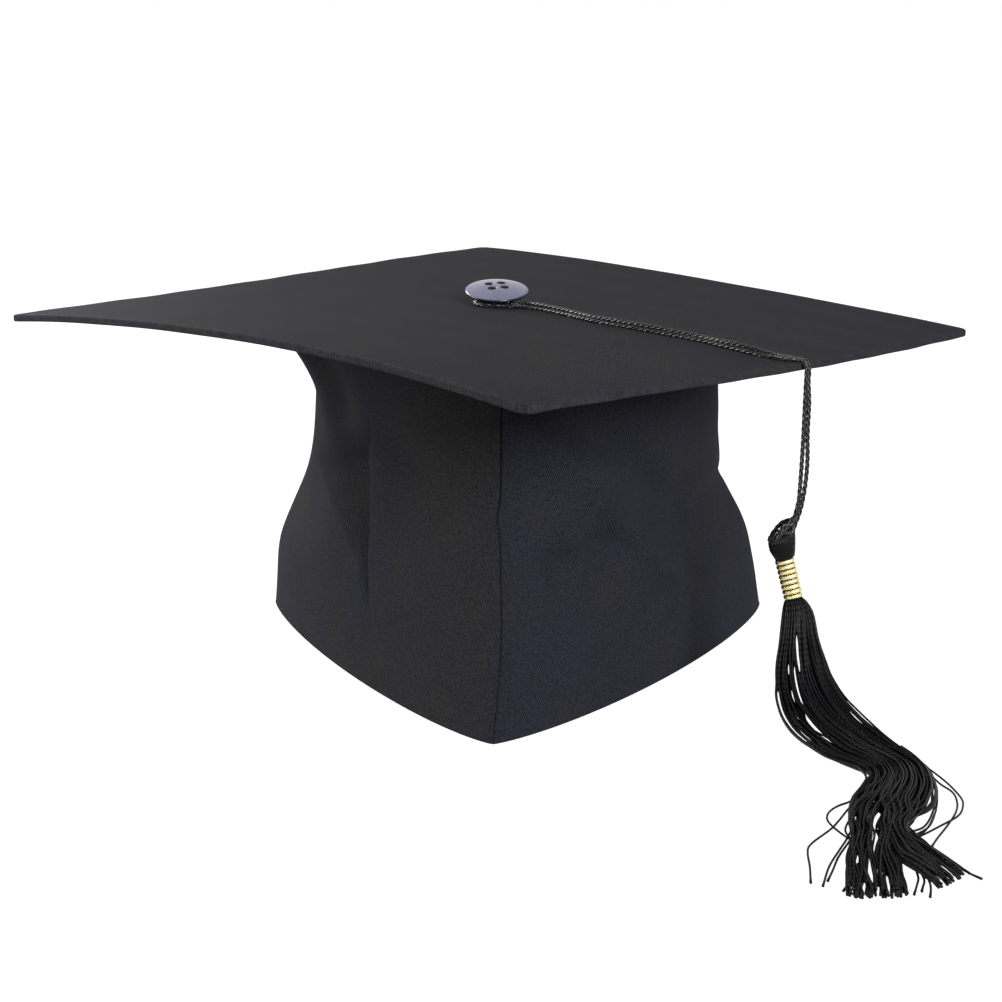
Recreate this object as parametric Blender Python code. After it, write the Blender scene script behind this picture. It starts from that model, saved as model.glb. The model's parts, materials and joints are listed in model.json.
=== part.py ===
"""Graduation cap (mortarboard): a cloth-covered square board on a soft skull cap, with a
button, a doubled cord and a tassel whose skirt lies on the surface the cap stands on.

Metres, +Z up. The origin is on the standing surface, under the middle of the board.
-Y is the front: the board's front corner and the cap's front seam point that way.
"""

import math

import bmesh
import bpy
from mathutils import Matrix, Vector

# ---- driving dimensions ----
BOARD_SIDE = 0.240
BOARD_HEIGHT = 0.118  # top of the board at its middle
COVER = 0.00035  # cloth of the board's covers
CORE = 0.0014  # stiff core sheet
PLY_GAP = 0.00015  # between the board's layers
HEM = 0.012  # turn-under of the top cover
BOARD_STEPS = 14
# Sag of the board, in metres at the half diagonal, by powers of (x, y) / half diagonal.
BOARD_SAG = {
    (1, 0): -0.0059, (0, 1): 0.0017, (2, 0): -0.0055, (1, 1): 0.0105, (0, 2): 0.0058,
    (3, 0): 0.0023, (2, 1): -0.0009, (1, 2): -0.0038, (0, 3): 0.0016,
    (4, 0): -0.0007, (2, 2): -0.0064, (0, 4): -0.0045,
}

PANEL = 0.0010  # cloth with interfacing
SEAM_GAP = 0.0003
FIT = 0.0003  # between neighbouring pieces
# Plan of the skull cap at five heights, from the rim (first) to the board (last).
RIGHT_X = (0.1020, 0.0958, 0.0827, 0.0815, 0.0785)
LEFT_X = (-0.0850, -0.0806, -0.0684, -0.0650, -0.0645)
RIGHT_Y = (0.014, 0.012, 0.008, 0.004, 0.002)
LEFT_Y = (0.024, 0.019, 0.012, 0.006, 0.002)
FRONT_X = (-0.0054, -0.0027, -0.0027, -0.0022, -0.0015)
FRONT_Y = (-0.1083, -0.1010, -0.0945, -0.0885, -0.0840)
BACK_X = (0.0060, 0.0050, 0.0040, 0.0030, 0.0020)
BACK_Y = (0.0940, 0.0900, 0.0850, 0.0790, 0.0750)
FRONT_POWER = (1.255, 1.32, 1.4, 1.6, 1.75)  # 1 is a straight-sided point, 2 an ellipse
BACK_POWER = (1.45, 1.5, 1.6, 1.7, 1.8)

BUTTON_R = 0.0111
BUTTON_RISE = 0.0052  # rim plane above the board
BUTTON_EDGE = 0.0010
BUTTON_DOME = 0.0018
BUTTON_TILT = math.radians(13.0)
BUTTON_SPIN = math.radians(12.0)
HOLE_R = 0.00145
HOLE_PITCH = 0.0046
SHANK_R = 0.0015
ANCHOR_R = 0.0060
ANCHOR_T = 0.0016

CORD = 0.0014
CORD_BEARING = math.radians(-42.0)  # from +X, seen from above
CORD_OVERHANG = 0.0016  # from the board's edge to the middle of the hanging cord
LEG_SPACING = 0.0019
CORD_ROUTE = (  # reach along the bearing and step to its left, for the pair of legs
    (0.0165, 0.0006), (0.0290, -0.0012), (0.0380, -0.0032), (0.0467, -0.0047), (0.0605, -0.0048),
    (0.0737, -0.0040), (0.0858, -0.0036), (0.0960, -0.0050), (0.1057, -0.0060), (0.1130, -0.0046),
)
HITCH = Vector((0.0858, -0.0818, 0.0586))

WRAP_TOP = Vector((0.0867, -0.0824, 0.0479))
WRAP_BOTTOM = Vector((0.0895, -0.0843, 0.0370))
WRAP_WIRE = 0.00115
WRAP_TURNS = 8
WRAP_R = 0.00255

HALF_DIAGONAL = BOARD_SIDE / math.sqrt(2)
BOARD_T = 2 * COVER + CORE + 2 * PLY_GAP


def clear_scene():
    for obj in list(bpy.data.objects):
        bpy.data.objects.remove(obj, do_unlink=True)


def material(name, colour, roughness, metallic=0.0):
    made = bpy.data.materials.new(name)
    made.use_nodes = True
    shader = made.node_tree.nodes["Principled BSDF"]
    shader.inputs["Base Color"].default_value = (*colour, 1.0)
    shader.inputs["Roughness"].default_value = roughness
    shader.inputs["Metallic"].default_value = metallic
    return made


def object_from(name, points, faces, made_of):
    """A closed mesh object from points and faces, with its faces turned outwards."""
    mesh = bpy.data.meshes.new(name)
    form = bmesh.new()
    corners = [form.verts.new(point) for point in points]
    for face in faces:
        form.faces.new([corners[i] for i in face])
    bmesh.ops.recalc_face_normals(form, faces=form.faces)
    form.to_mesh(mesh)
    form.free()
    mesh.materials.append(made_of)
    mesh.shade_smooth()
    mesh.set_sharp_from_angle(angle=math.radians(35))
    obj = bpy.data.objects.new(name, mesh)
    bpy.context.scene.collection.objects.link(obj)
    return obj


def cut(obj, cutter):
    boolean = obj.modifiers.new("hole", "BOOLEAN")
    boolean.operation = "DIFFERENCE"
    boolean.object = cutter


def cylinder_cutter(name, radius, low, high, sides=16, at=(0.0, 0.0)):
    mesh = bpy.data.meshes.new(name)
    form = bmesh.new()
    bmesh.ops.create_cone(
        form, cap_ends=True, segments=sides, radius1=radius, radius2=radius,
        depth=high - low, matrix=Matrix.Translation((at[0], at[1], (low + high) / 2)),
    )
    form.to_mesh(mesh)
    form.free()
    obj = bpy.data.objects.new(name, mesh)
    bpy.context.scene.collection.objects.link(obj)
    obj.hide_render = True
    obj.display_type = "WIRE"
    return obj


# ---- board ----


def board_top(x, y):
    across, along = x / HALF_DIAGONAL, y / HALF_DIAGONAL
    return BOARD_HEIGHT + sum(
        sag * across**i * along**j for (i, j), sag in BOARD_SAG.items()
    )


def board_under(x, y):
    return board_top(x, y) - BOARD_T


def board_point(u, v, drop):
    """A point of the board by its own axes (u, v from -half side to half side)."""
    x, y = (u - v) / math.sqrt(2), (u + v) / math.sqrt(2)
    return (x, y, board_top(x, y) - drop)


def board_grid(inset, drop):
    """Rows of points over the board, with its corners eased."""
    half = BOARD_SIDE / 2 - inset
    ease = 0.0010
    steps = [half * (2 * i / BOARD_STEPS - 1) for i in range(BOARD_STEPS + 1)]
    rows = []
    for u in steps:
        row = []
        for v in steps:
            corner = abs(u) > half - 1e-9 and abs(v) > half - 1e-9
            pull = 1 - ease / half if corner else 1.0
            row.append(board_point(u * pull, v * pull, drop))
        rows.append(row)
    return rows


def rim_of(rows):
    """The outer points of a grid, in order round it."""
    last = len(rows) - 1
    return (
        [(0, j) for j in range(last)] + [(i, last) for i in range(last)]
        + [(last, j) for j in range(last, 0, -1)] + [(i, 0) for i in range(last, 0, -1)]
    )


def add_grid(points, faces, rows):
    """Adds a grid's points and faces, and returns the indices of its rim."""
    start, width = len(points), len(rows)
    for row in rows:
        points.extend(row)
    for i in range(width - 1):
        for j in range(width - 1):
            a = start + i * width + j
            faces.append((a, a + 1, a + width + 1, a + width))
    return [start + i * width + j for i, j in rim_of(rows)]


def add_loop(points, rows):
    start = len(points)
    ring = [rows[i][j] for i, j in rim_of(rows)]
    points.extend(ring)
    return list(range(start, start + len(ring)))


def bridge(faces, one, other):
    for i in range(len(one)):
        k = (i + 1) % len(one)
        faces.append((one[i], one[k], other[k], other[i]))


def board_sheet(name, inset, drop, thickness, made_of):
    points, faces = [], []
    above = add_grid(points, faces, board_grid(inset, drop))
    below = add_grid(points, faces, board_grid(inset, drop + thickness))
    bridge(faces, above, below)
    return object_from(name, points, faces, made_of)


def top_cover(made_of):
    """Cloth over the board, down its edge and turned under as a hem."""
    points, faces = [], []
    rings = [
        add_grid(points, faces, board_grid(0.0, 0.0)),
        add_loop(points, board_grid(0.0, BOARD_T)),
        add_loop(points, board_grid(HEM, BOARD_T)),
        add_loop(points, board_grid(HEM, BOARD_T - COVER)),
        add_loop(points, board_grid(COVER, BOARD_T - COVER)),
        add_grid(points, faces, board_grid(COVER, COVER)),
    ]
    for one, other in zip(rings, rings[1:]):
        bridge(faces, one, other)
    return object_from("board_top_cover", points, faces, made_of)


# ---- skull cap ----


def along(values, height):
    """Smooth value at a height from 0 (rim) to 1 (board), through five values."""
    place = min(max(height, 0.0), 1.0) * (len(values) - 1)
    i = min(int(place), len(values) - 2)
    f = place - i
    before = values[i - 1] if i > 0 else 2 * values[0] - values[1]
    after = values[i + 2] if i + 2 < len(values) else 2 * values[-1] - values[-2]
    slope0, slope1 = (values[i + 1] - before) / 2, (after - values[i]) / 2
    return (
        (2 * f**3 - 3 * f**2 + 1) * values[i] + (f**3 - 2 * f**2 + f) * slope0
        + (3 * f**2 - 2 * f**3) * values[i + 1] + (f**3 - f**2) * slope1
    )


def cap_plan(turn, height):
    """Outline point: turn 0 is the front seam, +-1 the back seam, + the right side."""
    turn = (turn + 1) % 2 - 1
    right = turn >= 0
    front = abs(turn) <= 0.5
    side_x = along(RIGHT_X if right else LEFT_X, height)
    side_y = along(RIGHT_Y if right else LEFT_Y, height)
    end_x = along(FRONT_X if front else BACK_X, height)
    end_y = along(FRONT_Y if front else BACK_Y, height)
    power = 2 / along(FRONT_POWER if front else BACK_POWER, height)
    angle = math.pi * (abs(turn) if front else 1 - abs(turn))
    out, fore = max(math.sin(angle), 0.0) ** power, max(math.cos(angle), 0.0) ** power
    return Vector((end_x + (side_x - end_x) * out, side_y + (end_y - side_y) * fore))


def cap_point(turn, height, inside, seam_side=0):
    """A point a distance inside the cap's outline, at its height under the board."""
    here = cap_plan(turn, height)
    run = cap_plan(turn + 0.01, height) - cap_plan(turn - 0.01, height)
    inward = Vector((-run.y, run.x)).normalized()
    place = here + inward * inside
    if seam_side:
        seam = along(FRONT_X if abs(turn) <= 0.5 else BACK_X, height)
        limit = seam + seam_side * SEAM_GAP / 2
        place.x = max(place.x, limit) if seam_side > 0 else min(place.x, limit)
    z = height * (board_under(here.x, here.y) - FIT)
    return (place.x, place.y, z)


def cap_shell(name, turns, heights, inside, made_of, columns, rows, seam_side=0):
    """A strip of the cap's wall between two depths inside the outline."""
    outer, inner = [], []
    for j in range(rows + 1):
        height = heights[0] + (heights[1] - heights[0]) * j / rows
        for i in range(columns + 1):
            turn = turns[0] + (turns[1] - turns[0]) * i / columns
            outer.append(cap_point(turn, height, inside[0], seam_side))
            inner.append(cap_point(turn, height, inside[1], seam_side))
    points, faces = outer + inner, []
    width, back = columns + 1, len(outer)
    for j in range(rows):
        for i in range(columns):
            a = j * width + i
            square = (a, a + 1, a + width + 1, a + width)
            faces.append(square)
            faces.append(tuple(back + k for k in reversed(square)))
    edge = (
        [i for i in range(columns)] + [j * width + columns for j in range(rows)]
        + [rows * width + i for i in range(columns, 0, -1)]
        + [j * width for j in range(rows, 0, -1)]
    )
    bridge(faces, edge, [back + k for k in edge])
    return object_from(name, points, faces, made_of)


def crown_top(made_of):
    """The cap's flat top, sewn under the board inside the panels' upper edges."""
    count, rings = 28, (0.35, 0.7, 1.0)
    outline = [cap_point(-1 + 2 * i / count, 1.0, PANEL + FIT) for i in range(count)]
    middle = Vector((0.004, -0.003))
    points, faces, rims = [], [], []
    for drop in (FIT / 2, FIT / 2 + 0.0005):
        layer = []
        for scale in rings:
            ring = []
            for x, y, _ in outline:
                px = middle.x + (x - middle.x) * scale
                py = middle.y + (y - middle.y) * scale
                ring.append(len(points))
                points.append((px, py, board_under(px, py) - drop))
            layer.append(ring)
        centre = len(points)
        points.append((middle.x, middle.y, board_under(*middle) - drop))
        for i in range(count):
            faces.append((centre, layer[0][i], layer[0][(i + 1) % count]))
        bridge(faces, layer[0], layer[1])
        bridge(faces, layer[1], layer[2])
        rims.append(layer[2])
    bridge(faces, rims[0], rims[1])
    return object_from("crown_top", points, faces, made_of)


# ---- button and its shank ----


def turned(name, profile, made_of, sides=24):
    """A solid of revolution about Z from (radius, z) pairs that start and end on it."""
    points, faces = [(0.0, 0.0, profile[0][1])], []
    rings = []
    for radius, z in profile[1:-1]:
        rings.append(list(range(len(points), len(points) + sides)))
        for i in range(sides):
            angle = 2 * math.pi * i / sides
            points.append((radius * math.cos(angle), radius * math.sin(angle), z))
    points.append((0.0, 0.0, profile[-1][1]))
    for one, other in zip(rings, rings[1:]):
        bridge(faces, one, other)
    for i in range(sides):
        k = (i + 1) % sides
        faces.append((0, rings[0][k], rings[0][i]))
        faces.append((len(points) - 1, rings[-1][i], rings[-1][k]))
    return object_from(name, points, faces, made_of)


def button(made_of):
    """A domed four-hole button, tilted forwards on its shank."""
    edge = BUTTON_EDGE
    profile = [(0, -edge), (BUTTON_R - 0.0006, -edge), (BUTTON_R - 0.0001, -0.7 * edge),
               (BUTTON_R, -0.4 * edge), (BUTTON_R - 0.0002, -0.1 * edge)]
    for k in range(6):
        r = (BUTTON_R - 0.0006) * (1 - k / 6)
        profile.append((r, BUTTON_DOME * (1 - (r / BUTTON_R) ** 2)))
    profile.append((0, BUTTON_DOME))
    obj = turned("button", profile, made_of, 36)
    tilt = Matrix.Rotation(BUTTON_TILT, 4, "X")
    place = Matrix.Translation((0, 0, BOARD_HEIGHT + BUTTON_RISE)) @ tilt
    place = place @ Matrix.Rotation(BUTTON_SPIN, 4, "Z")
    obj.matrix_world = place
    for i, (sx, sy) in enumerate(((-1, -1), (1, -1), (1, 1), (-1, 1))):
        at = (sx * HOLE_PITCH / 2, sy * HOLE_PITCH / 2)
        cutter = cylinder_cutter(f"button_hole_{i}", HOLE_R, -0.004, 0.004, 14, at)
        cutter.matrix_world = place
        cut(obj, cutter)
    return obj


def shank(made_of):
    """The wound thread that holds the button, with its knot inside the cap."""
    under = BOARD_HEIGHT - BOARD_T - FIT / 2 - 0.0005 - FIT - ANCHOR_T
    top = BOARD_HEIGHT + BUTTON_RISE - BUTTON_EDGE - 0.0010
    profile = [(0, under - 0.0018), (0.0016, under - 0.0017), (0.0025, under - 0.0010),
               (0.0022, under - FIT), (SHANK_R, under - FIT), (SHANK_R, top - 0.0009),
               (0.0024, top - 0.0004), (0.0024, top), (0, top)]
    return turned("button_shank_thread", profile, made_of, 16)


def anchor(made_of):
    """The small flat button inside the cap that the thread pulls against."""
    top = BOARD_HEIGHT - BOARD_T - FIT / 2 - 0.0005 - FIT
    profile = [(0, top - ANCHOR_T), (ANCHOR_R - 0.0004, top - ANCHOR_T),
               (ANCHOR_R, top - ANCHOR_T / 2), (ANCHOR_R - 0.0004, top), (0, top)]
    return turned("anchor_button", profile, made_of, 20)


# ---- cord ----


def smooth_path(stops, spacing):
    """Evenly spaced points on a Catmull-Rom curve through the stops."""
    stops = [Vector(stop) for stop in stops]
    ends = [2 * stops[0] - stops[1]] + stops + [2 * stops[-1] - stops[-2]]
    fine = []
    for a, b, c, d in zip(ends, ends[1:], ends[2:], ends[3:]):
        for k in range(24):
            f = k / 24
            fine.append(0.5 * (2 * b + (c - a) * f + (2 * a - 5 * b + 4 * c - d) * f**2
                               + (3 * b - 3 * c + d - a) * f**3))
    fine.append(stops[-1])
    lengths = [0.0]
    for a, b in zip(fine, fine[1:]):
        lengths.append(lengths[-1] + (b - a).length)
    count = max(2, round(lengths[-1] / spacing))
    path, k = [], 0
    for i in range(count + 1):
        want = lengths[-1] * i / count
        while k < len(fine) - 2 and lengths[k + 1] < want:
            k += 1
        f = (want - lengths[k]) / max(lengths[k + 1] - lengths[k], 1e-9)
        path.append(fine[k].lerp(fine[k + 1], min(f, 1.0)))
    return path


def tube(name, path, diameter, made_of, sides=2):
    curve = bpy.data.curves.new(name, "CURVE")
    curve.dimensions = "3D"
    curve.bevel_depth = diameter / 2
    curve.bevel_resolution = sides
    curve.use_fill_caps = True
    spline = curve.splines.new("POLY")
    spline.points.add(len(path) - 1)
    for point, place in zip(spline.points, path):
        point.co = (*place, 1.0)
    curve.materials.append(made_of)
    obj = bpy.data.objects.new(name, curve)
    bpy.context.scene.collection.objects.link(obj)
    return obj


def edge_crossing():
    """Where the cord crosses the front right edge: the edge point and its directions."""
    outward = Vector((1, -1, 0)).normalized()
    edgeways = Vector((1, 1, 0)).normalized()
    off_normal = CORD_BEARING + math.radians(45)
    reach = BOARD_SIDE / 2 / math.cos(off_normal)
    x, y = reach * math.cos(CORD_BEARING), reach * math.sin(CORD_BEARING)
    return Vector((x, y, board_top(x, y))), outward, edgeways


def cords(made_of):
    edge, outward, edgeways = edge_crossing()
    lift = FIT + CORD / 2
    run = Vector((math.cos(CORD_BEARING), math.sin(CORD_BEARING), 0))
    side = Vector((-run.y, run.x, 0))

    def on_board(x, y):
        return Vector((x, y, board_top(x, y) + lift))

    def leg(sign):
        stops = []
        for reach, step in reversed(CORD_ROUTE):
            spot = run * reach + side * (step + sign * LEG_SPACING / 2)
            stops.append(on_board(spot.x, spot.y))
        return stops

    start = {s: edge + edgeways * s * LEG_SPACING / 2 + Vector((0, 0, lift)) for s in (1, -1)}
    loop = [on_board(x, y) for x, y in (
        (0.0065, -0.0085), (0.0, -0.0097), (-0.0060, -0.0075), (-0.0078, -0.0015),
        (-0.0045, 0.0038), (0.0015, 0.0042), (0.0070, -0.0020))]
    stops = [start[-1]] + leg(-1) + loop + leg(1)[::-1] + [start[1]]
    tube("cord_on_board", smooth_path(stops, 3.4 * CORD), CORD, made_of)

    for tag, s in (("a", 1), ("b", -1)):
        middle = edge + edgeways * s * LEG_SPACING / 2
        bend = []
        for k in range(5):
            angle = math.pi / 2 * (0.88 - 0.70 * k / 4)
            bend.append(middle + outward * math.cos(angle) * CORD_OVERHANG
                        + Vector((0, 0, math.sin(angle) * lift)))
        tube(f"cord_bend_{tag}", bend, CORD, made_of)
        top = middle + outward * CORD_OVERHANG
        sideways = Vector((0.00105 * s, 0.0004 * s, 0))
        stops = [top, top - Vector((0, 0, 0.006)),
                 Vector((0.0908, -0.0819, 0.0930)) + sideways,
                 Vector((0.0910, -0.0819, 0.0790)) + sideways,
                 Vector((0.0905, -0.0819, 0.0680)) + sideways,
                 Vector((0.0878, -0.0818, 0.0614)) + sideways]
        tube(f"cord_hanging_{tag}", smooth_path(stops, 2.5 * CORD), CORD, made_of)


# ---- tassel ----


def loft(name, sections, made_of, sides=12):
    """A closed solid through oval sections: (centre, half width, half height)."""
    centres = [Vector(centre) for centre, _, _ in sections]
    points, faces, rings = [], [], []
    for k, (_, wide, high) in enumerate(sections):
        before, after = centres[max(k - 1, 0)], centres[min(k + 1, len(centres) - 1)]
        run = (after - before).normalized()
        across = Vector((-run.y, run.x, 0))
        if across.length < 0.35:
            across = Vector((1, 0, 0))
        across = (across - run * across.dot(run)).normalized()
        if across.x < 0:
            across = -across
        up = run.cross(across)
        ring = []
        for i in range(sides):
            angle = 2 * math.pi * i / sides
            ring.append(len(points))
            points.append(centres[k] + across * math.cos(angle) * wide
                          + up * math.sin(angle) * high)
        rings.append(ring)
    for one, other in zip(rings, rings[1:]):
        bridge(faces, one, other)
    faces.append(tuple(rings[0]))
    faces.append(tuple(reversed(rings[-1])))
    return object_from(name, points, faces, made_of)


def tassel(strands, gold):
    axis = WRAP_BOTTOM - WRAP_TOP
    length = axis.length
    axis.normalize()
    across = axis.cross(Vector((0, 1, 0))).normalized()
    third = axis.cross(across)

    loft("hitch_knot", [(HITCH + Vector((0.0010, 0, 0.0008)), 0.0010, 0.0010),
                        (HITCH + Vector((0.0002, 0, 0.0000)), 0.0021, 0.0019),
                        (HITCH + Vector((-0.0006, 0, -0.0012)), 0.0023, 0.0020),
                        (HITCH + Vector((-0.0009, 0, -0.0022)), 0.0012, 0.0012)], strands)
    head = [((0.0847, -0.0818, 0.0560), 0.0016, 0.0016),
            ((0.0847, -0.0818, 0.0547), 0.0034, 0.0032),
            ((0.0849, -0.0819, 0.0528), 0.0039, 0.0037),
            ((0.0855, -0.0820, 0.0508), 0.0038, 0.0036),
            ((0.0862, -0.0822, 0.0489), 0.0031, 0.0030)]
    neck = 0.0016
    head += [(WRAP_TOP - axis * 0.0003, 0.0024, 0.0024), (WRAP_TOP, neck, neck),
             (WRAP_BOTTOM, neck, neck)]
    loft("tassel_head", head, strands)

    coil = []
    steps = 12
    for k in range(WRAP_TURNS * steps + 1):
        angle = 2 * math.pi * k / steps
        down = WRAP_WIRE / 2 + FIT + (length - WRAP_WIRE - FIT) * k / (WRAP_TURNS * steps)
        coil.append(WRAP_TOP + axis * down
                    + (across * math.cos(angle) + third * math.sin(angle)) * WRAP_R)
    tube("gold_wrap", coil, WRAP_WIRE, gold, 1)

    start = WRAP_BOTTOM + axis * FIT * 2
    skirt = [(start, 0.0027, 0.0026),
             (start + axis * 0.0016, 0.0034, 0.0029),
             ((0.0906, -0.0866, 0.0318), 0.0050, 0.0036),
             ((0.0906, -0.0892, 0.0275), 0.0060, 0.0039),
             ((0.0898, -0.0938, 0.0218), 0.0073, 0.0041),
             ((0.0905, -0.0989, 0.0158), 0.0085, 0.0042),
             ((0.0925, -0.1040, 0.0108), 0.0098, 0.0042),
             ((0.0952, -0.1105, 0.0068), 0.0108, 0.0040),
             ((0.0992, -0.1200, 0.0046), 0.0118, 0.0038),
             ((0.1038, -0.1315, 0.0042), 0.0126, 0.0036),
             ((0.1052, -0.1430, 0.0040), 0.0126, 0.0034),
             ((0.1022, -0.1555, 0.0037), 0.0112, 0.0031),
             ((0.0958, -0.1695, 0.0034), 0.0100, 0.0028),
             ((0.0892, -0.1845, 0.0031), 0.0090, 0.0025),
             ((0.0845, -0.2010, 0.0028), 0.0083, 0.0022)]
    loft("skirt_main", skirt, strands, 14)
    lock = [((0.1160, -0.1600, 0.0026), 0.0022, 0.0018),
            ((0.1125, -0.1720, 0.0026), 0.0036, 0.0021),
            ((0.1080, -0.1850, 0.0025), 0.0055, 0.0020),
            ((0.1045, -0.1985, 0.0024), 0.0075, 0.0018)]
    loft("skirt_right_lock", lock, strands)


def main():
    clear_scene()
    cloth = material("black_twill", (0.022, 0.022, 0.024), 0.85)
    lining = material("black_lining", (0.015, 0.015, 0.018), 0.7)
    card = material("grey_board", (0.30, 0.28, 0.25), 0.9)
    plastic = material("button_plastic", (0.05, 0.05, 0.065), 0.15)
    thread = material("black_thread", (0.012, 0.012, 0.014), 0.6)
    gold = material("gold_wire", (0.90, 0.68, 0.28), 0.25, 1.0)
    ribbon = material("elastic", (0.02, 0.02, 0.02), 0.8)

    inner = COVER + PLY_GAP
    through = cylinder_cutter("thread_hole", SHANK_R + FIT, 0.10, 0.13)
    pierced = [
        top_cover(cloth),
        board_sheet("board_core", inner, inner, CORE, card),
        board_sheet("board_under_cover", HEM + FIT, BOARD_T - COVER, COVER, cloth),
        crown_top(lining),
        anchor(plastic),
    ]
    for obj in pierced:
        cut(obj, through)

    cap_shell("cap_panel_right", (0, 1), (0, 1), (0, PANEL), cloth, 32, 12, 1)
    cap_shell("cap_panel_left", (-1, 0), (0, 1), (0, PANEL), cloth, 32, 12, -1)
    band = PANEL + 3 * FIT
    cap_shell("sweatband", (-0.70, 0.70), (0.012, 0.23), (band, band + 0.0008), lining, 28, 2)
    cap_shell("rear_elastic", (0.73, 1.27), (0.012, 0.18), (band, band + 0.0009), ribbon, 14, 2)
    cap_shell("front_seam_tape", (-0.07, 0.07), (0.26, 0.96), (band, band + 0.0004), lining, 4, 5)
    cap_shell("back_seam_tape", (0.94, 1.06), (0.22, 0.96), (band, band + 0.0004), lining, 4, 5)

    button(plastic)
    shank(thread)
    cords(thread)
    tassel(thread, gold)


main()
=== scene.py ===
"""Looks of the graduation cap: cloth, button, plied cord, gold wrap and tassel, in metres."""

import json
import math

import bpy
import numpy as np
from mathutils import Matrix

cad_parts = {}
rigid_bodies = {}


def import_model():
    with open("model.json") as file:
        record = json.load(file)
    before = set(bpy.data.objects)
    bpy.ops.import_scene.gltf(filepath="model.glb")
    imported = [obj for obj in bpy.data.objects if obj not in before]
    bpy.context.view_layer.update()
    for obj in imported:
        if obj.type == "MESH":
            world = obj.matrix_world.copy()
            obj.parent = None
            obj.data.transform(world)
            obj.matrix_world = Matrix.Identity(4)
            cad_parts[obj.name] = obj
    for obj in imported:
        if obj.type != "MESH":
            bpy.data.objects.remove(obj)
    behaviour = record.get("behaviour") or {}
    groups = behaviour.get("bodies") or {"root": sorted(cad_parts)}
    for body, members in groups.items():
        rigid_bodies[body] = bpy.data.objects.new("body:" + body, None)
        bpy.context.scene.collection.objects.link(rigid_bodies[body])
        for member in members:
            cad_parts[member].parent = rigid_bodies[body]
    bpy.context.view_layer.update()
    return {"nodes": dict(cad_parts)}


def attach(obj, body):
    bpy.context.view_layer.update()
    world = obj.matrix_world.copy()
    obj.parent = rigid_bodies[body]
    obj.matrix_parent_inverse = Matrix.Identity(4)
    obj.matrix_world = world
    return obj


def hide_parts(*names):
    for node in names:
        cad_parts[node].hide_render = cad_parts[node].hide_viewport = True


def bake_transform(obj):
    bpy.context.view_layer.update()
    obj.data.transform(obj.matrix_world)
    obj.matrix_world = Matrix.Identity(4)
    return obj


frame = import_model()

# ---- sizes shared with the CAD model ----
BOARD_SIDE = 0.240
BOARD_HEIGHT = 0.118
HALF_DIAGONAL = BOARD_SIDE / math.sqrt(2)
BOARD_T = 0.0024
COVER = 0.00035
HEM = 0.012
BOARD_SAG = {
    (1, 0): -0.0059, (0, 1): 0.0017, (2, 0): -0.0055, (1, 1): 0.0105, (0, 2): 0.0058,
    (3, 0): 0.0023, (2, 1): -0.0009, (1, 2): -0.0038, (0, 3): 0.0016,
    (4, 0): -0.0007, (2, 2): -0.0064, (0, 4): -0.0045,
}
PANEL = 0.0010
FIT = 0.0003
RIGHT_X = (0.1020, 0.0958, 0.0827, 0.0815, 0.0785)
LEFT_X = (-0.0850, -0.0806, -0.0684, -0.0650, -0.0645)
RIGHT_Y = (0.014, 0.012, 0.008, 0.004, 0.002)
LEFT_Y = (0.024, 0.019, 0.012, 0.006, 0.002)
FRONT_X = (-0.0054, -0.0027, -0.0027, -0.0022, -0.0015)
FRONT_Y = (-0.1083, -0.1010, -0.0945, -0.0885, -0.0840)
BACK_X = (0.006, 0.005, 0.004, 0.003, 0.002)
BACK_Y = (0.0940, 0.0900, 0.0850, 0.0790, 0.0750)
FRONT_POWER = (1.255, 1.32, 1.4, 1.6, 1.75)  # 1 is a straight-sided point, 2 an ellipse
BACK_POWER = (1.45, 1.5, 1.6, 1.7, 1.8)

BUTTON_R = 0.0111
BUTTON_RISE = 0.0052
BUTTON_EDGE = 0.0010
BUTTON_DOME = 0.0018
BUTTON_TILT = math.radians(13.0)
BUTTON_SPIN = math.radians(12.0)
HOLE_R = 0.00145
HOLE_PITCH = 0.0046

CORD = 0.0014
CORD_BEARING = math.radians(-42.0)
WRAP_BOTTOM = np.array((0.0895, -0.0843, 0.0370))
WRAP_TURNS = 8
WRAP_R = 0.00255

# ---- sizes of the looks, for which the CAD model has other values or none ----
EDGE_ROUND = 0.0006  # the cloth's bend over the board's edge
MIDDLE_HOLE = 0.0024  # half the side of the covers' hole for the button's thread
SEAM_SLIT = 0.00004  # the sewn panels meet; the CAD model's solids keep a gap here

# Turns times the first and heights times the second give metres on the cap's wall, nearly:
# half of its rim is 0.276 to 0.296 long, and it is 0.111 to 0.117 high.
HALF_GIRTH = 0.300
CAP_DEPTH = 0.116

CORD_OVERHANG = 0.0018  # 0.0016 in the CAD model
EDGE_BEND = 0.0027  # radius of the cord's bend over the board's edge
LEG_SPACING = 0.0014  # 0.0019 in the CAD model
LAY = 0.0065  # length of one turn of the plies

WRAP_TOP = np.array((0.0864, -0.0822, 0.0491))  # 1.2 mm above the CAD model's
WRAP_WIRE = 0.0014  # 0.00115 in the CAD model
STRAND_R = 0.00031
SKIRT_STRANDS = 200
SKIRT_LOCKS = 12  # bunches that the strands draw into
SKIRT_SEED = 7

UP = np.array((0.0, 0.0, 1.0))
CAMERA_PLACE = (-0.01923, -0.50030, 0.18342)
CAMERA_LENS = 51.05  # millimetres, for a sensor 36 mm wide
CAMERA_PITCH = math.radians(15.32)  # down from level
CAMERA_TURN = math.radians(-2.37)
WORLD_LIGHT = 0.50  # share of the backdrop's light that matt surfaces get
FLOOR_LIGHT = 0.62  # and of the floor's


# ---- camera ----


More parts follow.
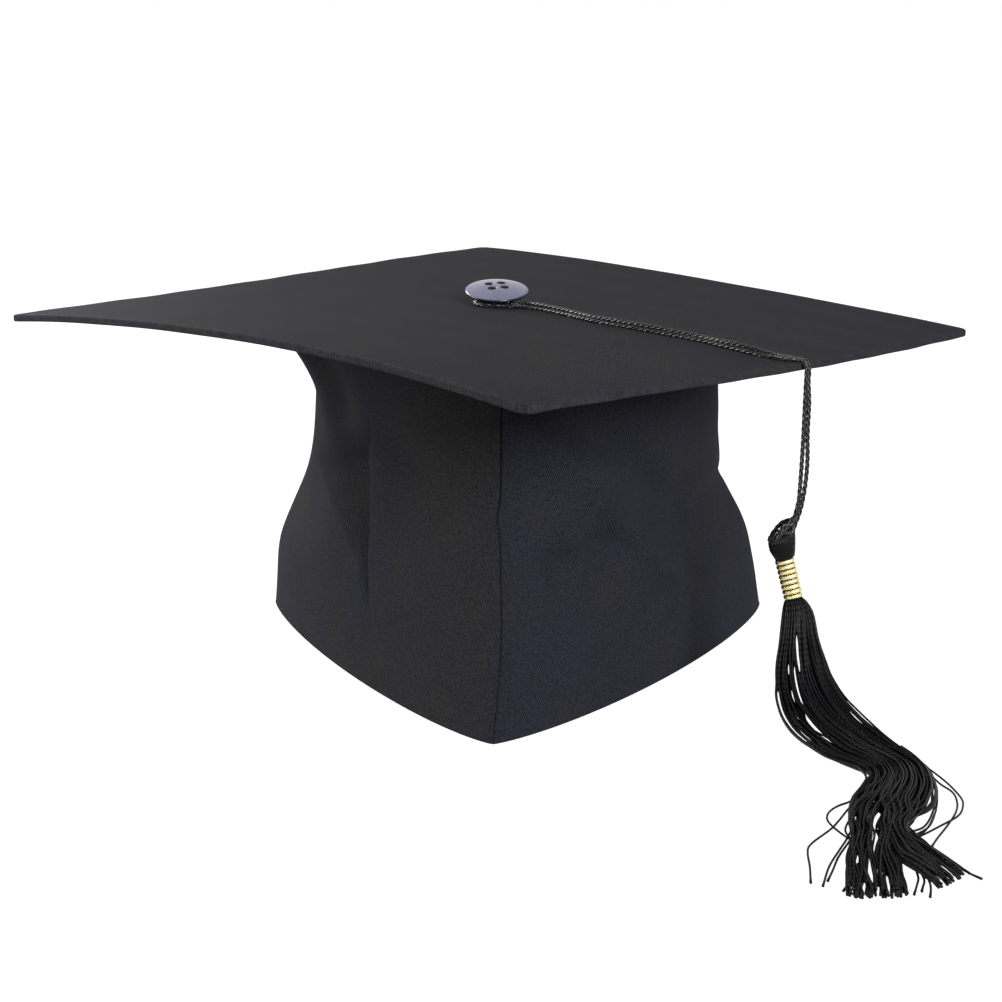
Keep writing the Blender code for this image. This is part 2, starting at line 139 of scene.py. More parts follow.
def add_camera():
    data = bpy.data.cameras.new("camera")
    data.sensor_width = 36.0
    data.lens = CAMERA_LENS
    data.clip_start = 0.01
    obj = bpy.data.objects.new("camera", data)
    obj.location = CAMERA_PLACE
    obj.rotation_euler = (math.pi / 2 - CAMERA_PITCH, 0.0, CAMERA_TURN)
    bpy.context.scene.collection.objects.link(obj)
    bpy.context.scene.camera = obj


# ---- shapes ----


class Shape:
    """Points and faces gathered from the parts of one piece."""

    def __init__(self):
        self.points, self.faces, self.uvs = [], [], []
        self.count = 0

    def add(self, points, faces, uvs):
        points = np.asarray(points, float).reshape(-1, 3)
        self.points.append(points)
        self.faces.append(np.asarray(faces) + self.count)
        self.uvs.append(np.asarray(uvs, float).reshape(-1, 2))
        self.count += len(points)

    def piece(self, name, made_of):
        mesh = bpy.data.meshes.new(name)
        faces = [tuple(face) for block in self.faces for face in block.tolist()]
        mesh.from_pydata(np.concatenate(self.points).tolist(), [], faces)
        layer = mesh.uv_layers.new(name="cloth")
        corner = np.empty(len(mesh.loops), np.int32)
        mesh.loops.foreach_get("vertex_index", corner)
        uvs = np.concatenate(self.uvs)[corner]
        layer.data.foreach_set("uv", uvs.astype(np.float32).ravel())
        mesh.shade_smooth()
        mesh.materials.append(made_of)
        obj = bpy.data.objects.new(name, mesh)
        bpy.context.scene.collection.objects.link(obj)
        return obj


def grid_faces(rows, columns, wrap_rows=False, wrap_columns=False):
    """Quads of a grid of points stored row by row."""
    i = np.arange(rows if wrap_rows else rows - 1)[:, None]
    j = np.arange(columns if wrap_columns else columns - 1)[None, :]
    below, right = (i + 1) % rows, (j + 1) % columns
    quads = np.stack(np.broadcast_arrays(
        i * columns + j, i * columns + right, below * columns + right, below * columns + j), -1)
    return quads.reshape(-1, 4)


def run_of(path):
    steps = np.linalg.norm(np.diff(path[:, :3], axis=0), axis=1)
    return np.concatenate([[0], np.cumsum(steps)])


def smooth_path(stops, spacing):
    """Evenly spaced rows on a Catmull-Rom curve through the stops; x, y, z come first."""
    stops = np.array(stops, float)
    ends = np.vstack([2 * stops[0] - stops[1], stops, 2 * stops[-1] - stops[-2]])
    f = np.linspace(0, 1, 24, endpoint=False)[:, None]
    fine = [
        0.5 * (2 * b + (c - a) * f + (2 * a - 5 * b + 4 * c - d) * f**2
               + (3 * b - 3 * c + d - a) * f**3)
        for a, b, c, d in zip(ends, ends[1:], ends[2:], ends[3:])
    ]
    fine = np.vstack([*fine, stops[-1:]])
    run = run_of(fine)
    want = np.linspace(0, run[-1], max(2, round(run[-1] / spacing)) + 1)
    return np.stack([np.interp(want, run, column) for column in fine.T], axis=1)


def unit(vectors):
    vectors = np.asarray(vectors, float)
    return vectors / np.linalg.norm(vectors, axis=-1, keepdims=True)


def frames(path):
    """Two normals along a path that don't twist round it."""
    tangent = unit(np.gradient(path, axis=0))
    normal = np.empty_like(path)
    here = np.cross(tangent[0], UP)
    if np.linalg.norm(here) < 0.1:
        here = np.array((1.0, 0.0, 0.0))
    for k, t in enumerate(tangent):
        here = unit(here - t * np.dot(here, t))
        normal[k] = here
    return normal, np.cross(tangent, normal)


def add_tube(shape, path, radius, sides):
    """A tube with closed ends; its UVs are metres along it and turns round it."""
    normal, third = frames(path)
    radius = np.broadcast_to(radius, len(path))
    radius = np.concatenate([[radius[0] * 0.3], radius, [radius[-1] * 0.3]])
    path = np.concatenate([path[:1], path, path[-1:]])
    normal = np.concatenate([normal[:1], normal, normal[-1:]])
    third = np.concatenate([third[:1], third, third[-1:]])
    turn = np.linspace(0, 2 * np.pi, sides, endpoint=False)
    ring = (normal[:, None] * np.cos(turn)[None, :, None]
            + third[:, None] * np.sin(turn)[None, :, None])
    points = path[:, None] + ring * radius[:, None, None]
    uvs = np.empty((len(path), sides, 2))
    uvs[..., 0] = run_of(path)[:, None]
    uvs[..., 1] = turn / (2 * np.pi)
    shape.add(points, grid_faces(len(path), sides, wrap_columns=True), uvs)
    ends = np.stack([np.arange(sides)[::-1], (len(path) - 1) * sides + np.arange(sides)])
    shape.faces.append(ends + shape.count - len(path) * sides)


def add_plies(shape, path, normal, third, phase, diameter=CORD):
    """Three plies laid round a path; phase is each path point's turn of the lay."""
    offset = diameter * 0.268  # three plies that just touch
    ply = (diameter / 2 - offset) * 1.08
    for k in range(3):
        turn = phase + 2 * np.pi * k / 3
        line = path + (normal * np.cos(turn)[:, None] + third * np.sin(turn)[:, None]) * offset
        add_tube(shape, line, ply, 8)


def smoothstep(x, low, high):
    f = np.clip((np.asarray(x, float) - low) / (high - low), 0, 1)
    return f * f * (3 - 2 * f)


# ---- materials ----


class Look:
    """A Principled material and short ways to build its nodes."""

    def __init__(self, name, colour, roughness, **sockets):
        self.made = bpy.data.materials.new(name)
        self.made.use_nodes = True
        self.made.diffuse_color = (*colour, 1.0)
        self.tree = self.made.node_tree
        self.shader = self.tree.nodes["Principled BSDF"]
        self.shader.inputs["Base Color"].default_value = (*colour, 1.0)
        self.shader.inputs["Roughness"].default_value = roughness
        for socket, value in sockets.items():
            self.shader.inputs[socket.replace("_", " ")].default_value = value

    def node(self, kind, **settings):
        made = self.tree.nodes.new(kind)
        for name, value in settings.items():
            setattr(made, name, value)
        return made

    def put(self, target, value):
        """Sets a socket to a number or links another socket to it."""
        if isinstance(value, bpy.types.NodeSocket):
            self.tree.links.new(value, target)
        else:
            target.default_value = value

    def maths(self, operation, a, b=0.0, c=0.0):
        made = self.node("ShaderNodeMath", operation=operation)
        for socket, value in zip(made.inputs, (a, b, c)):
            self.put(socket, value)
        return made.outputs[0]

    def uv(self):
        return self.node("ShaderNodeTexCoord").outputs["UV"]

    def stripes(self, direction, pitch):
        """0 to 1 and back across lines of this pitch, which run square to the direction."""
        made = self.node("ShaderNodeVectorMath", operation="DOT_PRODUCT")
        self.put(made.inputs[0], self.uv())
        made.inputs[1].default_value = (direction[0], direction[1], 0.0)
        turn = self.maths("MULTIPLY", made.outputs["Value"], 2 * math.pi / pitch)
        wave = self.maths("SINE", turn)
        return self.maths("MULTIPLY_ADD", wave, 0.5, 0.5)

    def noise(self, size, detail=2.0, stretch=(1, 1, 1)):
        """0 to 1 noise with features of about this size, in metres."""
        where = self.node("ShaderNodeMapping")
        where.inputs["Scale"].default_value = [s / size for s in stretch]
        self.put(where.inputs["Vector"], self.node("ShaderNodeTexCoord").outputs["Object"])
        made = self.node("ShaderNodeTexNoise")
        made.inputs["Scale"].default_value = 1.0
        made.inputs["Detail"].default_value = detail
        self.put(made.inputs["Vector"], where.outputs[0])
        return made.outputs[0]

    def mix(self, factor, one, other, blend="MIX"):
        made = self.node("ShaderNodeMix", data_type="RGBA", blend_type=blend)
        self.put(made.inputs[0], factor)
        for socket, value in ((made.inputs[6], one), (made.inputs[7], other)):
            self.put(socket, (*value, 1.0) if isinstance(value, tuple) else value)
        return made.outputs[2]

    def clamped(self, value):
        made = self.node("ShaderNodeClamp")
        self.put(made.inputs[0], value)
        return made.outputs[0]

    def colour(self, value):
        self.put(self.shader.inputs["Base Color"], value)

    def roughness(self, value):
        self.put(self.shader.inputs["Roughness"], value)

    def bump(self, height, distance, strength):
        made = self.node("ShaderNodeBump")
        made.inputs["Distance"].default_value = distance
        made.inputs["Strength"].default_value = strength
        self.put(made.inputs["Height"], height)
        self.tree.links.new(made.outputs[0], self.shader.inputs["Normal"])


def twill_cloth(name, light, dark, blue, bluer=0.60, edge=None):
    """Fine twill: slanted ribs crossed by threads, painted darker between the ribs as painted shade,
    and soft bluer patches.

    With an edge, the half side of a board covered in it, the cloth is painted lighter in patches
    near it: painted highlight along the board's edge.
    """
    look = Look(name, light, 0.75, Sheen_Weight=0.006, Sheen_Roughness=0.5,
                Sheen_Tint=(0.86, 0.88, 1.0, 1.0), Specular_IOR_Level=0.01)
    rib, direction = 0.00062, (0.82, 0.57)
    ribs = look.stripes(direction, rib)
    threads = look.stripes((-direction[1], direction[0]), rib * 0.8)
    weave = look.maths("MULTIPLY", ribs, look.maths("MULTIPLY_ADD", threads, 0.45, 0.55))
    slub = look.noise(0.00048, 2.0)
    # painted shade: the cloth is darker between the ribs and between the threads
    cloth = look.mix(weave, dark, light)
    speck = look.clamped(look.maths("MULTIPLY_ADD", slub, 3.2, -1.1))
    cloth = look.mix(speck, look.mix(0.5, cloth, dark), look.mix(0.5, cloth, light))
    if edge:
        flat = look.node("ShaderNodeSeparateXYZ")
        look.put(flat.inputs[0], look.uv())
        across, along_it = (look.maths("ABSOLUTE", flat.outputs[k]) for k in (0, 1))
        # painted highlight: the cloth is painted paler in patches near the board's outline and over
        # its edge
        wear_and_highlight = look.node("ShaderNodeMapRange", interpolation_type="SMOOTHSTEP")
        wear_and_highlight.inputs["From Min"].default_value = edge - 0.0016
        wear_and_highlight.inputs["From Max"].default_value = edge
        look.put(wear_and_highlight.inputs["Value"], look.maths("MAXIMUM", across, along_it))
        highlight_patches = look.maths("MULTIPLY_ADD", look.noise(0.0025, 4.0), 1.6, -0.3)
        pale = tuple(2.4 * channel for channel in light)
        share = look.maths("MULTIPLY", wear_and_highlight.outputs[0], look.clamped(highlight_patches))
        cloth = look.mix(look.maths("MULTIPLY", share, 0.28), cloth, pale)
    patches = look.noise(0.030, 3.0)
    tint = look.clamped(look.maths("MULTIPLY", look.maths("SUBTRACT", patches, 1 - bluer), 2.8))
    look.colour(look.mix(tint, cloth, blue, "MULTIPLY"))
    look.roughness(look.maths("MULTIPLY_ADD", slub, 0.20, 0.60))
    height = look.maths("ADD", weave, look.maths("MULTIPLY", slub, 0.9))
    look.bump(height, 0.00010, 0.8)
    return look.made


def lining_cloth():
    """Smooth plain-woven lining, painted lighter where its threads cross, as painted highlight."""
    look = Look("black_lining", (0.014, 0.014, 0.017), 0.42, Sheen_Weight=0.12,
                Sheen_Roughness=0.3, Specular_IOR_Level=0.35)
    warp = look.stripes((1.0, 0.0), 0.00034)
    weft = look.stripes((0.0, 1.0), 0.00040)
    weave = look.maths("MULTIPLY", warp, weft)
    wear_and_highlight = look.noise(0.012, 3.0)
    # painted highlight where warp and weft cross, over random mottling
    look.colour(look.mix(look.maths("MULTIPLY_ADD", wear_and_highlight, 0.5, look.maths("MULTIPLY", weave, 0.4)),
                         (0.010, 0.010, 0.012), (0.020, 0.020, 0.024)))
    look.bump(look.maths("ADD", weave, wear_and_highlight), 0.00006, 0.6)
    return look.made


def elastic_band():
    """Ribbed woven elastic, painted darker between its raised cords as painted shade."""
    look = Look("elastic", (0.018, 0.018, 0.018), 0.8, Sheen_Weight=0.3, Sheen_Roughness=0.5,
                Specular_IOR_Level=0.2)
    cords = look.stripes((0.0, 1.0), 0.0016)
    weave = look.stripes((1.0, 0.0), 0.0006)
    fluff = look.noise(0.0008, 3.0)
    rise = look.maths("MULTIPLY_ADD", cords, 1.0, look.maths("MULTIPLY", weave, 0.4))
    # painted shade: darker where the cords and the weave dip, over random fluff
    look.colour(look.mix(look.maths("MULTIPLY", look.maths("ADD", rise, fluff), 0.4),
                         (0.010, 0.010, 0.010), (0.028, 0.028, 0.028)))
    look.bump(rise, 0.0002, 0.9)
    return look.made


def paperboard():
    """Pressed grey board with flecks."""
    look = Look("grey_board", (0.30, 0.28, 0.25), 0.9, Specular_IOR_Level=0.2)
    fleck = look.noise(0.0012, 4.0)
    cloud = look.noise(0.02, 3.0)
    look.colour(look.mix(look.maths("MULTIPLY_ADD", fleck, 0.7, look.maths("MULTIPLY", cloud, 0.3)),
                         (0.22, 0.20, 0.18), (0.38, 0.36, 0.32)))
    look.bump(fleck, 0.0001, 0.5)
    return look.made


def edge_share(look, radius):
    """0 over the button's dome, rising to 1 at its rim."""
    edge = look.node("ShaderNodeMapRange", interpolation_type="SMOOTHSTEP")
    edge.inputs["From Min"].default_value = BUTTON_R * 0.955
    edge.inputs["From Max"].default_value = BUTTON_R * 0.995
    look.put(edge.inputs["Value"], radius)
    return edge.outputs[0]


def button_plastic():
    """Polished black polyester with scuffs; its dome is painted lavender grey as painted reflection,
    and it stays near black at its rim and in its holes.
    """
    look = Look("button_plastic", (0.07, 0.07, 0.11), 0.16, IOR=1.48,
                Specular_Tint=(0.80, 0.80, 1.0, 1.0))
    cloud = look.noise(0.006, 3.0)
    scuff = look.noise(0.0009, 5.0, (1.0, 3.0, 1.0))
    place = look.node("ShaderNodeTexCoord").outputs["Object"]
    radius = look.node("ShaderNodeVectorMath", operation="LENGTH")
    look.put(radius.inputs[0], place)
    flat = look.node("ShaderNodeSeparateXYZ")
    look.put(flat.inputs[0], place)
    aside = [look.maths("SUBTRACT", look.maths("ABSOLUTE", flat.outputs[k]), HOLE_PITCH / 2)
             for k in (0, 1)]
    squares = [look.maths("MULTIPLY", side, side) for side in aside]
    inside = look.maths("LESS_THAN", look.maths("ADD", *squares), (HOLE_R + 0.0001) ** 2)
    dark = look.maths("MAXIMUM", edge_share(look, radius.outputs["Value"]), inside)
    # painted reflection: the lavender grey over the dome stands in for the light's reflection on the
    # black plastic
    painted_dome_reflection = look.mix(cloud, (0.062, 0.062, 0.097), (0.120, 0.120, 0.182))
    look.colour(look.mix(dark, painted_dome_reflection, (0.004, 0.004, 0.006)))
    wear_and_highlight = look.maths("MULTIPLY_ADD", scuff, 0.16, 0.14)
    look.roughness(look.maths("MULTIPLY_ADD", inside, 0.5, wear_and_highlight))
    look.bump(scuff, 0.00001, 0.5)
    return look.made


def thread(name, light, dark, pitch, depth, roughness, gloss):
    """Twisted rayon: yarn ridges winding along the UV's length, painted darker between them as
    painted shade.
    """
    look = Look(name, light, roughness, Sheen_Weight=0.01, Sheen_Roughness=0.3,
                Specular_IOR_Level=gloss)
    wound = look.node("ShaderNodeSeparateXYZ")
    look.put(wound.inputs[0], look.uv())
    along_it = look.maths("DIVIDE", wound.outputs[0], pitch)
    turn = look.maths("SINE", look.maths("MULTIPLY", look.maths("ADD", along_it,
                      look.maths("MULTIPLY", wound.outputs[1], 2.0)), 2 * math.pi))
    ridge = look.maths("MULTIPLY_ADD", turn, 0.5, 0.5)
    fibre = look.noise(0.0004, 3.0)
    # painted shade: darker between the ridges, lighter on their crests
    look.colour(look.mix(look.maths("MULTIPLY_ADD", fibre, 0.4, look.maths("MULTIPLY", ridge, 0.6)),
                         dark, light))
    look.roughness(look.maths("MULTIPLY_ADD", fibre, 0.2, roughness - 0.1))
    look.bump(look.maths("MULTIPLY_ADD", fibre, 0.5, ridge), depth, 0.8)
    return look.made


def gold_thread():
    """Flat gilt thread wound side by side: bright crests with fine wraps across them."""
    look = Look("gold_wire", (0.74, 0.63, 0.32), 0.28, Metallic=1.0,
                Specular_Tint=(1.0, 0.97, 0.85, 1.0))
    wraps = look.stripes((1.0, 0.0), 0.00042)
    tarnish = look.noise(0.0012, 3.0)
    look.colour(look.mix(tarnish, (0.54, 0.43, 0.15), (0.95, 0.86, 0.53)))
    look.roughness(look.maths("MULTIPLY_ADD", tarnish, 0.2, 0.18))
    look.bump(look.maths("ADD", wraps, tarnish), 0.00005, 0.7)
    return look.made


def matt_or_white(tree, light_on_matt):
    """White, straight on and in reflections, and a dimmer light on matt surfaces."""
    matt = tree.nodes.new("ShaderNodeLightPath").outputs["Is Diffuse Ray"]
    strength = tree.nodes.new("ShaderNodeMapRange")
    strength.inputs["To Min"].default_value = 1.0
    strength.inputs["To Max"].default_value = light_on_matt
    tree.links.new(matt, strength.inputs["Value"])
    return strength.outputs[0]


def pale_floor():
    look = Look("pale_floor", (0.10, 0.10, 0.10), 0.9, Specular_IOR_Level=0.05,
                Emission_Color=(1.0, 1.0, 1.0, 1.0))
    look.put(look.shader.inputs["Emission Strength"], matt_or_white(look.tree, FLOOR_LIGHT))
    look.colour(look.mix(look.noise(0.05, 3.0), (0.09, 0.09, 0.09), (0.11, 0.11, 0.11)))
    return look.made


# ---- board ----


def board_top(x, y):
    across, along_ = x / HALF_DIAGONAL, y / HALF_DIAGONAL
    return BOARD_HEIGHT + sum(sag * across**i * along_**j for (i, j), sag in BOARD_SAG.items())


def board_ring(inset, drop, steps=60, corner=0.0038):
    """Points round the board's outline at an inset from it, and their UVs; corners are round."""
    half = BOARD_SIDE / 2 - inset
    radius = min(max(corner - inset, 0.0004), half * 0.5)
    ease = np.sin(np.linspace(-0.5, 0.5, steps, endpoint=False) * np.pi)
    ones = np.ones(steps)
    u = np.concatenate([ease, ones, -ease, -ones]) * half
    v = np.concatenate([-ones, ease, ones, -ease]) * half
    place = np.stack([u, v], 1)
    core = np.clip(place, -(half - radius), half - radius)
    off = place - core
    length = np.maximum(np.linalg.norm(off, axis=1), 1e-9)[:, None]
    place = np.where(length > 1e-8, core + off / length * radius, place)
    x = (place[:, 0] - place[:, 1]) / math.sqrt(2)
    y = (place[:, 0] + place[:, 1]) / math.sqrt(2)
    soft = 0.00008 * (np.sin(x * 95 + 1.0) * np.cos(y * 80) + np.sin((x + y) * 160))
    return np.stack([x, y, board_top(x, y) + soft - drop], 1), place


def add_rings(shape, rings, close=False):
    """Joins rings of points; a closed set comes back to its first ring."""
    count = len(rings[0][0])
    points = np.concatenate([ring for ring, _ in rings])
    uvs = np.concatenate([uv for _, uv in rings])
    shape.add(points, grid_faces(len(rings), count, close, True), uvs)


def board_insets(outer):
    """Insets from the outer one to the covers' middle hole, closer near the edge."""
    inner = BOARD_SIDE / 2 - MIDDLE_HOLE
    return outer + (inner - outer) * np.linspace(0, 1, 40) ** 1.35


def top_cover(cloth):
    """Cloth over the board, round its edge and turned under as a hem."""
    shape = Shape()
    edge = EDGE_ROUND
    rings = [board_ring(i, 0.0) for i in board_insets(edge)[::-1]]
    bend = [(edge * (1 - math.sin(a)), edge * (1 - math.cos(a))) for a in np.radians((25, 50, 75))]
    rings += [board_ring(inset, drop) for inset, drop in bend]
    rings += [board_ring(0.0, drop) for drop in (edge, BOARD_T / 2, BOARD_T - edge)]
    rings += [board_ring(inset, BOARD_T - drop) for inset, drop in bend[::-1]]
    rings += [board_ring(i, BOARD_T) for i in (edge, 0.004, 0.008, HEM - 0.0004)]
    rings += [board_ring(HEM, BOARD_T - COVER / 2)]
    rings += [board_ring(i, BOARD_T - COVER) for i in (HEM - 0.0004, 0.006, edge)]
    rings += [board_ring(COVER, BOARD_T - edge), board_ring(COVER, edge)]
    rings += [board_ring(i, COVER) for i in board_insets(edge)]
    add_rings(shape, rings, close=True)
    obj = shape.piece("top_cover_cloth", cloth)
    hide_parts("board_top_cover")
    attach(obj, "cap")


def under_cover(cloth):
    """The under cover, its edge turned in just inside the hem."""
    shape = Shape()
    start, low = HEM + FIT, BOARD_T
    rings = [board_ring(i, low - COVER) for i in board_insets(start)[::-1]]
    rings += [board_ring(start - 0.0001, low - COVER / 2)]
    rings += [board_ring(i, low) for i in board_insets(start)]
    add_rings(shape, rings, close=True)
    obj = shape.piece("under_cover_cloth", cloth)
    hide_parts("board_under_cover")
    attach(obj, "cap")


# ---- skull cap ----


def along(values, height):
    """Smooth value at heights from 0 (rim) to 1 (board), through five values."""
    values = np.array(values)
    place = np.clip(height, 0, 1) * (len(values) - 1)
    i = np.minimum(place.astype(int), len(values) - 2)
    f = place - i
    ends = np.concatenate([[2 * values[0] - values[1]], values, [2 * values[-1] - values[-2]]])
    slope0, slope1 = (ends[i + 2] - ends[i]) / 2, (ends[i + 3] - ends[i + 1]) / 2
    return ((2 * f**3 - 3 * f**2 + 1) * ends[i + 1] + (f**3 - 2 * f**2 + f) * slope0
            + (3 * f**2 - 2 * f**3) * ends[i + 2] + (f**3 - f**2) * slope1)


def cap_plan(turn, height):
    """Outline point: turn 0 is the front seam, +-1 the back seam, + the right side."""
    turn = (turn + 1) % 2 - 1
    right, front = turn >= 0, np.abs(turn) <= 0.5
    side_x = np.where(right, along(RIGHT_X, height), along(LEFT_X, height))
    side_y = np.where(right, along(RIGHT_Y, height), along(LEFT_Y, height))
    end_x = np.where(front, along(FRONT_X, height), along(BACK_X, height))
    end_y = np.where(front, along(FRONT_Y, height), along(BACK_Y, height))
    power = 2 / np.where(front, along(FRONT_POWER, height), along(BACK_POWER, height))
    angle = np.pi * np.where(front, np.abs(turn), 1 - np.abs(turn))
    out, fore = np.maximum(np.sin(angle), 0) ** power, np.maximum(np.cos(angle), 0) ** power
    return np.stack([end_x + (side_x - end_x) * out, side_y + (end_y - side_y) * fore], -1)


# The pleat down the left panel: a sharp ridge, a steep drop behind it and a hollow that rises
# again towards the left. The hollow is wide above and narrows to nothing downwards.
PLEAT = (  # height, turn of the ridge, width of the hollow and its depth
    (0.12, -0.206, 0.0040, 0.0000), (0.25, -0.226, 0.0050, 0.0010), (0.34, -0.236, 0.0060, 0.0030),
    (0.37, -0.239, 0.0120, 0.0044), (0.41, -0.241, 0.0165, 0.0062), (0.46, -0.245, 0.0260, 0.0085),
    (0.55, -0.247, 0.0470, 0.0112), (0.66, -0.246, 0.0560, 0.0112), (0.80, -0.244, 0.0560, 0.0070),
    (0.92, -0.240, 0.0560, 0.0000),
)
PLEAT_DROP = 0.0016  # how far behind the ridge the drop reaches its foot
PLEAT_LIFT = 0.0014  # how proud the ridge stands


def pleat(turn, height):
    """How far the pleat draws the cloth in, in metres; its ridge stands a little proud."""
    heights, ridges, widths, depths = zip(*PLEAT)
    ridge, wide, deep = (np.interp(height, heights, c) for c in (ridges, widths, depths))
    behind = (ridge - turn) * HALF_GIRTH
    drop = smoothstep(behind, -0.0002, PLEAT_DROP)
    back = 1 - np.clip(behind / wide, 0, 1)
    back = 0.75 * back + 0.25 * smoothstep(back, 0, 1)
    top_edge = 0.73 - np.maximum(behind, 0) / 0.047 * 0.14
    shut = 1 - smoothstep(height, top_edge - 0.09, top_edge + 0.05)
    proud = PLEAT_LIFT * np.minimum(deep / 0.005, 1) * shut
    ahead = np.exp(-(np.minimum(behind, 0) / 0.011) ** 2) * (1 - drop)
    return deep * drop * back * shut - proud * ahead


def hollow(turn, height, at, size, depth, slant=0.0):
    """A soft dent (or swelling, below 0) about a (turn, height) point, sizes in metres."""
    u, v = (turn - at[0]) * HALF_GIRTH, (height - at[1]) * CAP_DEPTH
    u, v = u * math.cos(slant) + v * math.sin(slant), v * math.cos(slant) - u * math.sin(slant)
    return depth * np.exp(-(u / size[0]) ** 2 - (v / size[1]) ** 2)


def cap_inward(turn, height):
    """Folds, dents and slow waves of the cap's cloth, inwards from its plain outline."""
    inward = pleat(turn, height)
    dents = (
        ((-0.420, 0.20), (0.040, 0.020), -0.0010, 0.0),    # swelling above the left of the rim
        ((-0.345, 0.55), (0.010, 0.030), -0.0010, 0.35),
        ((-0.150, 0.45), (0.022, 0.040), -0.0008, 0.0),
        ((-0.190, 0.14), (0.012, 0.014), 0.0012, -0.3),
        ((-0.170, 0.660), (0.014, 0.0070), 0.0018, -0.25),  # soft shadow right of the ridge
        ((-0.330, 0.800), (0.010, 0.0150), 0.0026, 0.50),
        ((-0.400, 0.880), (0.012, 0.0120), -0.0016, 0.50),
        ((0.105, 0.800), (0.024, 0.0055), 0.0026, -0.42),  # slanting wrinkles on the right
        ((0.125, 0.690), (0.030, 0.0080), -0.0018, -0.60),
        ((0.225, 0.640), (0.034, 0.0065), 0.0030, -0.75),
        ((0.205, 0.490), (0.026, 0.0048), -0.0026, -0.85),
        ((0.168, 0.450), (0.007, 0.0065), 0.0036, -0.45),
        ((0.112, 0.425), (0.006, 0.0065), 0.0032, -0.25),
        ((0.138, 0.480), (0.012, 0.0045), -0.0018, -0.60),
        ((0.300, 0.520), (0.020, 0.0140), 0.0024, -0.30),
        ((0.250, 0.340), (0.026, 0.0055), -0.0020, -0.90),
        ((0.220, 0.230), (0.012, 0.0045), 0.0018, 0.70),
        ((0.455, 0.495), (0.030, 0.0032), 0.0011, 0.0),    # crease at the right side
        ((0.455, 0.570), (0.030, 0.0080), -0.0009, 0.0),
        ((0.455, 0.800), (0.034, 0.0200), 0.0013, 0.0),
        ((0.460, 0.360), (0.030, 0.012), -0.0012, 0.0),
        ((-0.560, 0.40), (0.030, 0.012), -0.0010, 0.3),
        ((0.700, 0.55), (0.020, 0.030), 0.0018, 0.3),
        ((0.800, 0.40), (0.016, 0.036), -0.0016, -0.1),
        ((-0.720, 0.58), (0.018, 0.036), 0.0020, -0.3),
        ((-0.850, 0.42), (0.018, 0.030), -0.0014, 0.2),
    )
    for at, size, depth, slant in dents:
        inward = inward + hollow(turn, height, at, size, depth, slant)
    wave = (np.sin(turn * 17 + height * 5 + 0.6) * np.cos(height * 9 + turn * 4)
            + 0.6 * np.sin(turn * 31 - height * 11))
    inward = inward + 0.00028 * wave * smoothstep(height, 0.05, 0.3)
    # the upper left corner is pulled out towards the board
    flare = np.clip((height - 0.745) / 0.125, 0, 1.1) ** 1.6
    flare = flare * np.exp(-(((turn + 0.49) / 0.12) ** 2))
    inward = inward - 0.0062 * flare
    # above the band, folds are free; on it the cloth lies nearly flat
    return inward * (0.16 + 0.84 * smoothstep(height, 0.10, 0.27))


def cap_point(turn, height, inside, seam_side=0):
    """Points a distance inside the cloth's outer face, at their height under the board."""
    turn, height = np.broadcast_arrays(np.asarray(turn, float), np.asarray(height, float))
    here = cap_plan(turn, height)
    run = cap_plan(turn + 0.01, height) - cap_plan(turn - 0.01, height)
    inward = unit(np.stack([-run[..., 1], run[..., 0]], -1))
    depth = inside + cap_inward(turn, height)
    seam_gap = np.minimum(np.abs(turn), 1 - np.abs(turn)) * HALF_GIRTH
    if seam_side:
        depth = depth + 0.0010 * np.exp(-((seam_gap / 0.0008) ** 2))
        pucker = np.sin(2 * np.pi * height * CAP_DEPTH / 0.0052)
        depth = depth + 0.00012 * pucker * np.exp(-((seam_gap / 0.0035) ** 2))
    place = here + inward * depth[..., None]
    if seam_side:
        front = np.abs(turn) <= 0.5
        seam = np.where(front, along(FRONT_X, height), along(BACK_X, height))
        seam = seam + seam_side * SEAM_SLIT / 2
        x = np.maximum(place[..., 0], seam) if seam_side > 0 else np.minimum(place[..., 0], seam)
        place = np.stack([x, place[..., 1]], -1)
    kink = -0.0010 * np.exp(-(((height - 0.57) / 0.035) ** 2))
    place = place + np.stack([kink * np.exp(-((turn / 0.05) ** 2)), np.zeros(turn.shape)], -1)
    z = height * (board_top(here[..., 0], here[..., 1]) - BOARD_T - FIT)
    return np.concatenate([place, z[..., None]], -1)


def strip(name, turns, heights, inside, thick, made_of, seam_side=0):
    """A closed strip of the cap's wall: outer face, round lower edge, inner face."""
    turns, heights = np.asarray(turns), np.asarray(heights)
    outer = cap_point(turns[None, :], heights[::-1, None], inside, seam_side)
    inner = cap_point(turns[None, :], heights[:, None], inside + thick, seam_side)
    low, high = outer[-1:], inner[:1]
    turn_up = []
    for angle in np.radians((30, 60, 90, 120, 150)):
        middle = low + (high - low) * (1 - math.cos(angle)) / 2
        turn_up.append(middle - UP * thick / 2 * math.sin(angle))
    outer[-1] += UP * thick / 2
    inner[0] += UP * thick / 2
    turn_up = [row + UP * thick / 2 for row in turn_up]
    loop = np.concatenate([outer, *turn_up, inner])
    rows, columns = loop.shape[:2]
    uvs = np.empty((rows, columns, 2))
    uvs[..., 0] = turns * HALF_GIRTH
    drop = np.concatenate([heights[::-1] * CAP_DEPTH, np.linspace(0, -thick, len(turn_up)),
                           -heights * CAP_DEPTH])
    uvs[..., 1] = drop[:, None]
    shape = Shape()
    shape.add(loop, grid_faces(rows, columns, wrap_rows=True), uvs)
    index = np.arange(rows)
    half = rows // 2
    near = np.stack([index[:half - 1], index[1:half], rows - 1 - index[1:half],
                     rows - 1 - index[:half - 1]], 1) * columns
    far = near + columns - 1
    shape.faces.append(near[:, ::-1])
    shape.faces.append(far)
    return shape.piece(name, made_of)


